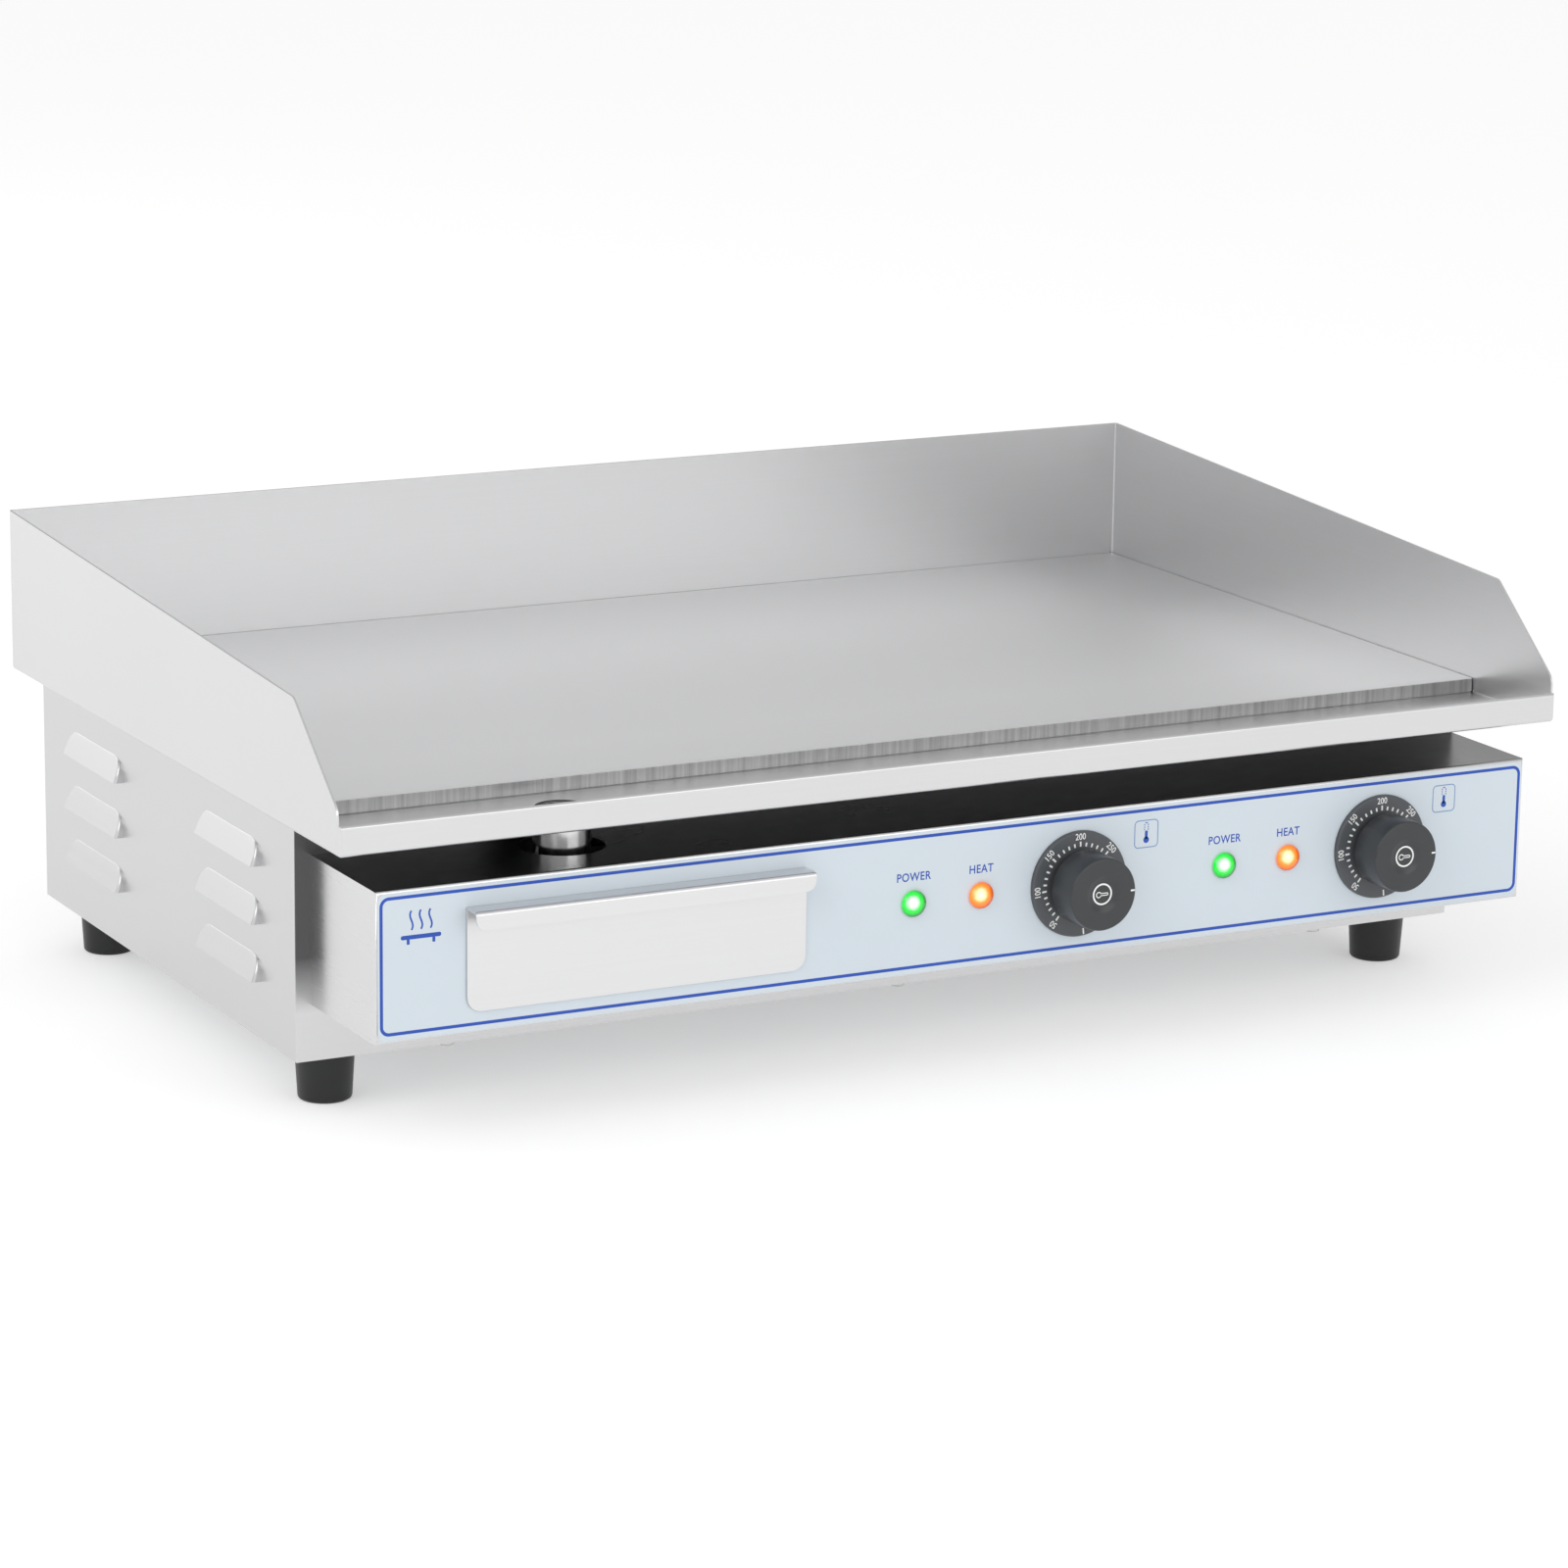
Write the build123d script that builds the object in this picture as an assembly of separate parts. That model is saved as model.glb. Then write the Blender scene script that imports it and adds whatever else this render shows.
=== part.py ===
from build123d import *
import os

# Counter-top electric griddle with two cooking zones, a grease drawer and two thermostats.
# Millimetres. +X is to the right seen from the front, +Y goes to the back, +Z is up.
# The origin is on the bench, at the middle of the space the griddle takes up.

# Overall
overall_width = 730.0
overall_depth = 503.0
overall_height = 250.0
back_y = overall_depth / 2
knob_face_y = -overall_depth / 2
knob_reach = 27.0
panel_y = knob_face_y + knob_reach
foot_height = 29.5
clearance = 0.3

# Sheet metal
guard_sheet = 1.2
body_sheet = 1.0
label_film = 0.3

# Splash tray: floor, back and side guards, and front rail, folded from one sheet
tray_bottom_z = 158.3
tray_floor_z = tray_bottom_z + guard_sheet
rail_height = 15.8
hem_thickness = 3.0
hem_depth = 11.0
guard_knee_y = -166.6
guard_knee_z = 228.2
guard_chamfer_y = -221.7
guard_chamfer_z = 182.3
tray_bend = 2.0
guard_knee_radius = 6.0
guard_foot_radius = 9.0

# Griddle plate
plate_thickness = 8.0
plate_top_z = tray_floor_z + plate_thickness
plate_front_y = -147.5
plate_back_y = back_y - guard_sheet - clearance
plate_half_width = overall_width / 2 - guard_sheet - clearance
window_half_width = 328.0
window_front_y = -126.5
window_back_y = 224.0
plate_corner_radius = 1.5
plate_under_chamfer = 0.7
plate_top_chamfer = 0.5
edge_stud_x = 344.0
edge_stud_y = (-105.0, 205.0)
edge_stud_end_z = 146.0

# Body under the tray
body_half_width = 354.5
body_front_y = -142.0
body_back_y = 229.0
flange = 15.0
flange_half_width = 333.0
side_flange = 20.0
vents_each_side = 8
vent_pitch = 14.0
vent_width = 5.0
vent_z = (82.0, 132.0)
pan_slots_each_side = 7
pan_slot_pitch = 36.0
pan_slot_width = 6.0
pan_slot_length = 50.0
pan_slot_y = (-60.0, 150.0)
pan_rim_height = 12.0

# Control housing in front of the body
housing_half_width = 346.0
housing_bottom_z = 59.5
housing_top_z = 139.0
housing_face_y = panel_y + label_film
housing_bend = 2.0
control_z = (housing_bottom_z + housing_top_z) / 2

# Zones: each has a dial, a green power lamp and an orange heat lamp on the panel
zone_names = ("left", "right")
dial_x = (60.0, 251.3)
power_lamp_step = 100.0
heat_lamp_step = 59.4
zone_x = (-182.0, 182.0)

# Dials and knobs
bezel_radius = 29.0
bezel_thickness = 2.5
knob_radius = 20.1
knob_draft = 0.3
knob_rim_radius = 1.2
skirt_radius = 17.6
skirt_height = 4.0
knob_gap = 0.7
knob_wall = 2.2
knob_face_thickness = 4.5
hub_radius = 6.5
dimple_radius = 10.0
dimple_floor_radius = 6.9
dimple_depth = 1.5
shaft_radius = 3.0
running_clearance = 0.05
bezel_screw_step = 14.0

# Lamps
lamp_radius = 7.2
lamp_rise = 4.2
lamp_barrel_radius = 4.9

# Drain and grease drawer
drain_x = -221.0
drain_y = -176.5
pipe_radius = 15.5
pipe_wall = 1.5
pipe_bottom_z = 121.5
collar_height = 1.5
collar_width = 2.5
drain_hole_radius = 23.0
drawer_x = -200.2
drawer_front_width = 192.3
drawer_front_bottom_z = 71.2
drawer_front_top_z = 125.9
drawer_opening_width = 184.0
drawer_opening_bottom_z = 75.0
drawer_opening_top_z = 122.5
drawer_tray_width = 180.0
drawer_tray_depth = 180.0
drawer_tray_bottom_z = 76.5
drawer_tray_top_z = 118.0
handle_reach = 12.7
handle_lip = 9.7
handle_bend = 2.0
handle_corner_radius = 6.0
drawer_corner_radius = 8.0
rivet_radius = 1.55

# Louvres in the side panels
louvre_length = 81.0
louvre_height = 14.0
louvre_rise = 5.0
louvre_sheet = 0.8
louvre_y = (-54.0, 145.0)
louvre_bottom_z = (60.6, 91.6, 122.6)

# Feet
foot_x = 327.0
foot_y = (-113.5, 203.5)
foot_top_radius = 16.0
foot_bottom_radius = 14.25

# Heating elements and what clamps them under the plate
element_radius = 4.0
element_pitch = 52.0
element_passes = 6
element_front_y = -70.0
element_back_y = 170.0
terminal_y = -125.0
element_z = tray_floor_z - element_radius - running_clearance
clamp_y = (-45.0, 50.0, 145.0)
clamp_thickness = 3.0
clamp_width = 25.0
clamp_half_length = 138.0
clamp_top_z = element_z - element_radius - 0.1
clamp_corner_radius = 4.0
clamp_stud_end_z = 138.0
stud_radius = 3.0
nut_height = 5.0
nut_across_flats = 10.0
shield_z = 127.0
shield_half_width = 325.0
shield_front_y = -120.0
shield_back_y = 210.0

# Rear connections
gland_x = 250.0
rear_fitting_z = 62.0
gland_bore_radius = 4.5
bond_stud_x = 300.0
bond_body_radius = 4.0
bond_neck_radius = 2.6
bond_neck_length = 1.5
bond_free_length = 9.5
bond_across_flats = 13.0


def span(x_low, x_high, y_low, y_high, z_low, z_high):
    """A block between two values along each axis."""
    block = Box(x_high - x_low, y_high - y_low, z_high - z_low)
    return Pos((x_low + x_high) / 2, (y_low + y_high) / 2, (z_low + z_high) / 2) * block


def post(x, y, z_low, z_high, radius):
    """A round bar standing along Z."""
    return Pos(x, y, (z_low + z_high) / 2) * Cylinder(radius, z_high - z_low)


def bar_y(x, z, y_low, y_high, radius):
    """A round bar lying along Y."""
    return Pos(x, (y_low + y_high) / 2, z) * Rot(90, 0, 0) * Cylinder(radius, y_high - y_low)


def turned_y(outline, x, z):
    """A turned piece: (radius, y) points go round an axis along Y through x, z."""
    profile = make_face(Plane.XY * Polyline(*outline, close=True))
    return Pos(x, 0, z) * revolve(profile, Axis.Y)


def side_sheet(outline, half_width):
    """A (y, z) outline pushed out to both sides of the middle."""
    profile = make_face(Plane.YZ * Polyline(*outline, close=True))
    return extrude(profile, half_width, both=True)


def hex_nut(x, y, z_low, height, across_flats, bore):
    """A hexagonal nut with its axis along Z."""
    blank = RegularPolygon(across_flats / 2, 6, major_radius=False)
    ring = extrude(blank, height) - Cylinder(bore, 3 * height)
    return Pos(x, y, z_low) * ring


def pan_screw_up(x, y, z_seat, head_radius, head_height, radius, length):
    """A pan-head screw driven upwards, its head under z_seat."""
    head = post(x, y, z_seat - head_height, z_seat, head_radius)
    under_edge = head.edges().sort_by(Axis.Z)[0]
    head = fillet(under_edge, head_height * 0.6)
    return head + post(x, y, z_seat, z_seat + length, radius)


# ---------------------------------------------------------------- splash tray and plate

def edge_stud_places():
    """Where the four plate studs near the sides go through the tray floor and the body."""
    return [(side * edge_stud_x, y) for side in (-1, 1) for y in edge_stud_y]


def splash_tray():
    outer = span(-overall_width / 2, overall_width / 2, panel_y, back_y, tray_bottom_z, overall_height)
    outer = fillet(outer.edges().filter_by(Axis.Z), tray_bend)
    outer = fillet(outer.faces().sort_by(Axis.Z)[0].edges(), tray_bend)
    inner_x = overall_width / 2 - guard_sheet
    inner = span(-inner_x, inner_x, panel_y + guard_sheet, back_y - guard_sheet,
                 tray_floor_z, overall_height + 1)
    inner = fillet(inner.edges().filter_by(Axis.Z), tray_bend - guard_sheet)
    inner = fillet(inner.faces().sort_by(Axis.Z)[0].edges(), tray_bend - guard_sheet)

    # The side guards fall towards the front, then drop in a chamfer to a short upright edge.
    keep = make_face(Plane.YZ * Polyline(
        (back_y, tray_bottom_z), (back_y, overall_height), (guard_knee_y, guard_knee_z),
        (guard_chamfer_y, guard_chamfer_z), (guard_chamfer_y, tray_bottom_z + rail_height),
        (panel_y, tray_bottom_z + rail_height), (panel_y, tray_bottom_z), close=True))
    corners = keep.vertices().sort_by(Axis.Z)
    keep = fillet(corners[-2], guard_knee_radius)
    chamfer_foot = keep.vertices().sort_by_distance((0, guard_chamfer_y, guard_chamfer_z))[0]
    keep = fillet(chamfer_foot, guard_foot_radius)
    shell = (outer - inner) & extrude(keep, overall_width / 2 + 1, both=True)

    # The rail's top edge is folded back on itself and down.
    rail_top_z = tray_bottom_z + rail_height
    above_rail = span(-inner_x, inner_x, panel_y - 1, panel_y + 4, rail_top_z, overall_height)
    hem = span(-inner_x, inner_x, panel_y, panel_y + hem_thickness, rail_top_z - hem_depth, rail_top_z)
    hem = fillet(hem.faces().sort_by(Axis.Z)[-1].edges().filter_by(Axis.X), hem_thickness * 0.45)
    rail_edge = span(-inner_x, inner_x, panel_y - 1, panel_y + guard_sheet + 1,
                     rail_top_z - hem_thickness, rail_top_z + 1)
    shell = shell - above_rail - rail_edge + hem

    shell -= span(-window_half_width, window_half_width, window_front_y, window_back_y,
                  tray_bottom_z - 1, tray_floor_z + 1)
    shell -= post(drain_x, drain_y, tray_bottom_z - 1, tray_floor_z + 1, pipe_radius - pipe_wall)
    for x, y in edge_stud_places():
        shell -= post(x, y, tray_bottom_z - 1, tray_floor_z + 1, stud_radius + 0.5)
    return shell


def griddle_plate():
    plate = span(-plate_half_width, plate_half_width, plate_front_y, plate_back_y, tray_floor_z, plate_top_z)
    plate = fillet(plate.edges().filter_by(Axis.Z), plate_corner_radius)
    plate = chamfer(plate.faces().sort_by(Axis.Z)[0].edges(), plate_under_chamfer)
    return chamfer(plate.faces().sort_by(Axis.Z)[-1].edges(), plate_top_chamfer)


def clamp_stud_places():
    """Where the studs for the element clamps stand: three along each clamp bar."""
    step = 2 * element_pitch
    return [(x + i * step, y) for x in zone_x for y in clamp_y for i in (-1, 0, 1)]


def plate_studs():
    studs = [post(x, y, clamp_stud_end_z, tray_floor_z, stud_radius) for x, y in clamp_stud_places()]
    studs += [post(x, y, edge_stud_end_z, tray_floor_z, stud_radius) for x, y in edge_stud_places()]
    return studs


def clamp_nuts():
    seat = clamp_top_z - clamp_thickness - nut_height
    return [hex_nut(x, y, seat, nut_height, nut_across_flats, stud_radius + 0.05)
            for x, y in clamp_stud_places()]


def plate_nuts():
    seat = tray_bottom_z - body_sheet - nut_height
    return [hex_nut(x, y, seat, nut_height, nut_across_flats, stud_radius + 0.05)
            for x, y in edge_stud_places()]


def drain_pipe():
    tube = post(drain_x, drain_y, pipe_bottom_z, tray_bottom_z, pipe_radius)
    collar = post(drain_x, drain_y, tray_bottom_z - collar_height, tray_bottom_z, pipe_radius + collar_width)
    return tube + collar - post(drain_x, drain_y, pipe_bottom_z - 1, tray_bottom_z + 1,
                                pipe_radius - pipe_wall)


# ---------------------------------------------------------------- body

drawer_cutout = (drawer_x - 97.0, drawer_x + 97.0, 64.0, 126.5)
wiring_hole_x = (60.0, 251.3)
wiring_hole_z = 112.0
wiring_hole_radius = 11.0
base_screw_radius = 2.0
base_screw_head = 4.2
base_screw_x = (-268.0, 0.0, 268.0)
base_screw_y = (body_front_y + 5.5, body_back_y - 5.5)
housing_screw_radius = 2.0
housing_screw_head = 3.8
housing_screw_x = (-320.0, 20.0, 320.0)
housing_screw_z = (housing_bottom_z + 6.0, housing_top_z - 6.0)


def front_bulkhead():
    inside_y = body_front_y + body_sheet
    wall = span(-body_half_width, body_half_width, body_front_y, inside_y, foot_height, tray_bottom_z)
    wall += span(-flange_half_width, flange_half_width, inside_y, body_front_y + flange,
                 tray_bottom_z - body_sheet, tray_bottom_z)
    low_z = foot_height + body_sheet + 0.2
    wall += span(-flange_half_width, flange_half_width, inside_y, body_front_y + flange,
                 low_z, low_z + body_sheet)
    low_x, high_x, low_cut_z, high_cut_z = drawer_cutout
    wall -= span(low_x, high_x, body_front_y - 1, inside_y + 1, low_cut_z, high_cut_z)
    for x in wiring_hole_x:
        wall -= bar_y(x, wiring_hole_z, body_front_y - 1, inside_y + 1, wiring_hole_radius)
    for x in base_screw_x:
        wall -= post(x, base_screw_y[0], low_z - 1, low_z + 2, base_screw_radius + running_clearance)
    for x in housing_screw_x:
        for z in housing_screw_z:
            wall -= bar_y(x, z, body_front_y - 1, inside_y + 1, housing_screw_radius + running_clearance)
    return wall


def rear_panel():
    inside_y = body_back_y - body_sheet
    wall = span(-body_half_width, body_half_width, inside_y, body_back_y, foot_height, tray_bottom_z)
    wall += span(-flange_half_width, flange_half_width, body_back_y - flange, inside_y,
                 tray_bottom_z - body_sheet, tray_bottom_z)
    low_z = foot_height + body_sheet + 0.2
    wall += span(-flange_half_width, flange_half_width, body_back_y - flange, inside_y,
                 low_z, low_z + body_sheet)
    for i in range(-vents_each_side, vents_each_side + 1):
        low_x, high_x = i * vent_pitch - vent_width / 2, i * vent_pitch + vent_width / 2
        slot = span(low_x, high_x, inside_y - 1, body_back_y + 1, *vent_z)
        wall -= fillet(slot.edges().filter_by(Axis.Y), vent_width / 2 - 0.1)
    for sx in (-1, 1):
        wall -= bar_y(sx * gland_x, rear_fitting_z, inside_y - 1, body_back_y + 1, 8.2)
    wall -= bar_y(bond_stud_x, rear_fitting_z, inside_y - 1, body_back_y + 1, bond_body_radius + 0.1)
    for x in base_screw_x:
        wall -= post(x, base_screw_y[1], low_z - 1, low_z + 2, base_screw_radius + running_clearance)
    return wall


def louvre(side, y, bottom_z):
    """One pressed hood, open at the bottom, and the hole in the wall behind it."""
    wall_x = body_half_width

    def wedge(length, rise, height, corner, round_over):
        lean = Plane.XZ * Polyline((wall_x - 0.5, bottom_z), (wall_x + rise, bottom_z),
                                   (wall_x, bottom_z + height), (wall_x - 0.5, bottom_z + height),
                                   close=True)
        body = Pos(0, y, 0) * extrude(make_face(lean), length / 2, both=True)
        face = Pos(wall_x, y, bottom_z + height / 2) * Box(30, length, height)
        top_corners = face.edges().filter_by(Axis.X).group_by(Axis.Z)[-1]
        body = body & fillet(top_corners, corner)
        slope = body.faces().filter_by(GeomType.PLANE).sort_by(Axis.X)[-1]
        side_edges = slope.edges().filter_by(lambda e: e.center().Z > bottom_z + 0.1)
        side_edges = side_edges.filter_by(lambda e: abs(e.center().Y - y) > length / 4)
        return fillet(side_edges, round_over)

    hood = wedge(louvre_length, louvre_rise, louvre_height, 11.0, 1.6)
    room = wedge(louvre_length - 2 * louvre_sheet, louvre_rise - louvre_sheet,
                 louvre_height - 1.6 * louvre_sheet, 10.2, 0.9)
    room += span(wall_x - 3, wall_x + 0.1, y - louvre_length / 2 + 6, y + louvre_length / 2 - 6,
                 bottom_z, bottom_z + louvre_height - 4)
    if side < 0:
        hood = mirror(hood, Plane.YZ)
        room = mirror(room, Plane.YZ)
    return hood, room


def side_panel(side):
    low_x, high_x = sorted((side * body_half_width, side * (body_half_width - body_sheet)))
    y_low = body_front_y + body_sheet
    y_high = body_back_y - body_sheet
    wall = span(low_x, high_x, y_low, y_high, foot_height, tray_bottom_z)
    fold_x = sorted((side * (body_half_width - side_flange), side * body_half_width))
    fold = span(fold_x[0], fold_x[1], y_low, y_high, tray_bottom_z - body_sheet, tray_bottom_z)
    for x, y in edge_stud_places():
        fold -= post(x, y, tray_bottom_z - 2, tray_bottom_z + 1, stud_radius + 0.5)
    wall += fold
    for y in louvre_y:
        for z in louvre_bottom_z:
            hood, room = louvre(side, y, z)
            wall = wall + hood - room
    return wall


def base_pan():
    x_edge = body_half_width - body_sheet - 0.2
    y_low = body_front_y + body_sheet + 0.2
    y_high = body_back_y - body_sheet - 0.2
    pan = span(-x_edge, x_edge, y_low, y_high, foot_height, foot_height + body_sheet)
    for side in (-1, 1):
        low_x, high_x = sorted((side * x_edge, side * (x_edge - body_sheet)))
        pan += span(low_x, high_x, y_low, y_high, foot_height, foot_height + pan_rim_height)
    for row_y in pan_slot_y:
        for i in range(-pan_slots_each_side, pan_slots_each_side + 1):
            low_x, high_x = i * pan_slot_pitch - pan_slot_width / 2, i * pan_slot_pitch + pan_slot_width / 2
            slot = span(low_x, high_x, row_y - pan_slot_length / 2, row_y + pan_slot_length / 2,
                        foot_height - 1, foot_height + 3)
            pan -= fillet(slot.edges().filter_by(Axis.Z), pan_slot_width / 2 - 0.1)
    for x in (-foot_x, foot_x):
        for y in foot_y:
            pan -= post(x, y, foot_height - 1, foot_height + 3, stud_radius + 0.3)
    for x in base_screw_x:
        for y in base_screw_y:
            pan -= post(x, y, foot_height - 1, foot_height + 3, base_screw_radius + clearance)
    return pan


def base_screws():
    return [pan_screw_up(x, y, foot_height, base_screw_head, 2.3, base_screw_radius, 9.0)
            for x in base_screw_x for y in base_screw_y]


# ---------------------------------------------------------------- feet

foot_recess_radius = 8.0
foot_recess_depth = 10.0
foot_screw_head = 4.0


def foot(x, y):
    with BuildPart() as rubber:
        with BuildSketch(Plane.XZ):
            with BuildLine():
                Polyline((0, 0), (foot_bottom_radius, 0), (foot_top_radius, foot_height),
                         (0, foot_height), (0, 0))
            make_face()
        revolve(axis=Axis.Z)
        fillet(rubber.edges().sort_by(Axis.Z)[0], 2.0)
    body = rubber.part - post(0, 0, -1, foot_recess_depth, foot_recess_radius)
    return Pos(x, y, 0) * (body - post(0, 0, 0, foot_height + 1, stud_radius + 0.1))


def foot_screws():
    head_low = foot_recess_depth - foot_screw_head
    screws = []
    for x in (-foot_x, foot_x):
        for y in foot_y:
            head = post(x, y, head_low, foot_recess_depth, 6.0)
            head -= span(x - 5, x + 5, y - 0.8, y + 0.8, head_low - 1, head_low + 1.4)
            screws.append(head + post(x, y, foot_recess_depth, foot_height + 9.0, stud_radius))
    return screws


def foot_nuts():
    return [hex_nut(x, y, foot_height + body_sheet, nut_height, nut_across_flats, stud_radius + 0.05)
            for x in (-foot_x, foot_x) for y in foot_y]


# ---------------------------------------------------------------- control housing

def lamp_places():
    """Panel x of each lamp, by name: the power and the heat lamp of each zone."""
    places = {}
    for name, x in zip(zone_names, dial_x):
        places[f"power_lamp_{name}"] = x - power_lamp_step
        places[f"heat_lamp_{name}"] = x - heat_lamp_step
    return places


def panel_holes(y_low, y_high):
    """Everything that goes through the front of the panel."""
    half = drawer_opening_width / 2
    holes = [span(drawer_x - half, drawer_x + half, y_low, y_high,
                  drawer_opening_bottom_z, drawer_opening_top_z)]
    holes += [bar_y(x, control_z, y_low, y_high, lamp_barrel_radius + 0.1) for x in lamp_places().values()]
    for x in dial_x:
        holes.append(bar_y(x, control_z, y_low, y_high, 5.1))
        holes += [bar_y(x + step, control_z, y_low, y_high, 2.1)
                  for step in (-bezel_screw_step, bezel_screw_step)]
    return holes


def control_housing():
    outer = span(-housing_half_width, housing_half_width, housing_face_y, body_front_y,
                 housing_bottom_z, housing_top_z)
    front = outer.faces().sort_by(Axis.Y)[0]
    outer = fillet(front.edges(), housing_bend)
    inner = span(-housing_half_width + body_sheet, housing_half_width - body_sheet,
                 housing_face_y + body_sheet, body_front_y + 1,
                 housing_bottom_z + body_sheet, housing_top_z - body_sheet)
    inner = fillet(inner.faces().sort_by(Axis.Y)[0].edges(), housing_bend - body_sheet)
    shell = outer - inner

    # Narrow flanges turn inwards along the back edge, against the body.
    flange_x = housing_half_width - body_sheet - 0.5
    flange_low_y = body_front_y - body_sheet
    for low_z, high_z in ((housing_bottom_z + 0.5, housing_bottom_z + 11.0),
                          (housing_top_z - 11.0, housing_top_z - 0.5)):
        shell += span(-flange_x, flange_x, flange_low_y, body_front_y, low_z, high_z)
    low_x, high_x, low_cut_z, high_cut_z = drawer_cutout
    shell -= span(low_x, high_x, flange_low_y - 1, body_front_y + 1, low_cut_z, high_cut_z)
    for x in housing_screw_x:
        for z in housing_screw_z:
            shell -= bar_y(x, z, flange_low_y - 1, body_front_y + 1, housing_screw_radius + clearance)

    for hole in panel_holes(housing_face_y - 1, housing_face_y + body_sheet + 1):
        shell -= hole
    shell -= post(drain_x, drain_y, housing_top_z - 2, housing_top_z + 1, drain_hole_radius)
    return shell


def housing_screws():
    seat = body_front_y - body_sheet
    screws = []
    for x in housing_screw_x:
        for z in housing_screw_z:
            head = bar_y(x, z, seat - 2.4, seat, housing_screw_head)
            head = fillet(head.edges().sort_by(Axis.Y)[0], 1.4)
            screws.append(head + bar_y(x, z, seat, seat + 9.0, housing_screw_radius))
    return screws


def panel_label():
    film = span(-housing_half_width + 1.4, housing_half_width - 1.4, panel_y, housing_face_y,
                housing_bottom_z + 1.5, housing_top_z - 1.5)
    film = fillet(film.edges().filter_by(Axis.Y), 4.0)
    for hole in panel_holes(panel_y - 1, housing_face_y + 1):
        film -= hole
    return film


def wiring_grommets():
    mid_y = body_front_y + body_sheet / 2
    bore, hole, lip = 7.0, wiring_hole_radius, wiring_hole_radius + 2.5
    half_slot, half_width = body_sheet / 2, 3.0
    outline = ((bore, mid_y - half_width), (lip, mid_y - half_width), (lip, mid_y - half_slot),
               (hole, mid_y - half_slot), (hole, mid_y + half_slot), (lip, mid_y + half_slot),
               (lip, mid_y + half_width), (bore, mid_y + half_width))
    return [turned_y(outline, x, wiring_hole_z) for x in wiring_hole_x]


# ---------------------------------------------------------------- dials, knobs and thermostats

bezel_front_y = panel_y - bezel_thickness
knob_base_y = bezel_front_y - knob_gap
inside_panel_y = housing_face_y + body_sheet
thermostat_depth = 34.0
bush_front_y = panel_y - 1.5
shaft_end_y = inside_panel_y + 14.0


def dial_bezel(x):
    disc = bar_y(x, control_z, bezel_front_y, panel_y, bezel_radius)
    disc = fillet(disc.edges().sort_by(Axis.Y)[0], 1.2)
    disc -= bar_y(x, control_z, bezel_front_y - 1, panel_y + 1, 6.0)
    for step in (-bezel_screw_step, bezel_screw_step):
        disc -= bar_y(x + step, control_z, bezel_front_y - 1, panel_y + 1, 2.1)
        disc -= bar_y(x + step, control_z, bezel_front_y - 1, bezel_front_y + 1.5, 4.0)
    return disc


def bezel_screws():
    seat = bezel_front_y + 1.5
    screws = []
    for x in dial_x:
        for step in (-bezel_screw_step, bezel_screw_step):
            screw = bar_y(x + step, control_z, bezel_front_y + 0.1, seat, 3.8)
            screws.append(screw + bar_y(x + step, control_z, seat, inside_panel_y + 4.0, 1.9))
    return screws


def thermostat(x):
    block_y = inside_panel_y + 1.5
    bracket = span(x - 19, x + 19, inside_panel_y, block_y, control_z - 11, control_z + 11)
    block = span(x - 17, x + 17, block_y, block_y + thermostat_depth, control_z - 21, control_z + 21)
    block = fillet(block.edges().filter_by(Axis.Y), 3.0)
    case = bracket + block + bar_y(x, control_z, bush_front_y, inside_panel_y, 4.9)
    for step in (-8.0, 8.0):
        tab_y = block_y + thermostat_depth
        case += span(x + step - 3, x + step + 3, tab_y, tab_y + 8, control_z - 14.4, control_z - 13.6)
        case += span(x + step - 3, x + step + 3, tab_y, tab_y + 8, control_z + 13.6, control_z + 14.4)
    case -= bar_y(x, control_z, bush_front_y - 1, shaft_end_y + 1, shaft_radius + running_clearance)
    for step in (-bezel_screw_step, bezel_screw_step):
        case -= bar_y(x + step, control_z, inside_panel_y - 1, inside_panel_y + 5.0, 1.9)
    return case


def temperature_sensor(x, zone):
    """The bulb under the plate and the thin capillary that joins it to its thermostat."""
    bulb_x = zone + 12.0
    bulb_z = tray_floor_z - 3.1
    bulb = bar_y(bulb_x, bulb_z, -30.0, 40.0, 3.0)
    end_y = inside_panel_y + 1.5 + thermostat_depth
    turn_y = body_front_y + 11.0
    cross_z = 140.0
    end_z = wiring_hole_z + 4.0
    route = FilletPolyline((bulb_x, -30.0, bulb_z), (bulb_x, turn_y, bulb_z), (bulb_x, turn_y, cross_z),
                           (x, turn_y, cross_z), (x, turn_y, end_z), (x, end_y, end_z), radius=6.0)
    tube = sweep(Plane(origin=route @ 0, z_dir=route % 0) * Circle(1.0), path=route)
    return bulb + tube


def knob_shaft(x):
    shaft = bar_y(x, control_z, knob_face_y + knob_face_thickness + 0.5, shaft_end_y, shaft_radius)
    flat = span(x - 4, x + 4, knob_face_y, bezel_front_y, control_z + 1.6, control_z + 4)
    return shaft - flat


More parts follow.
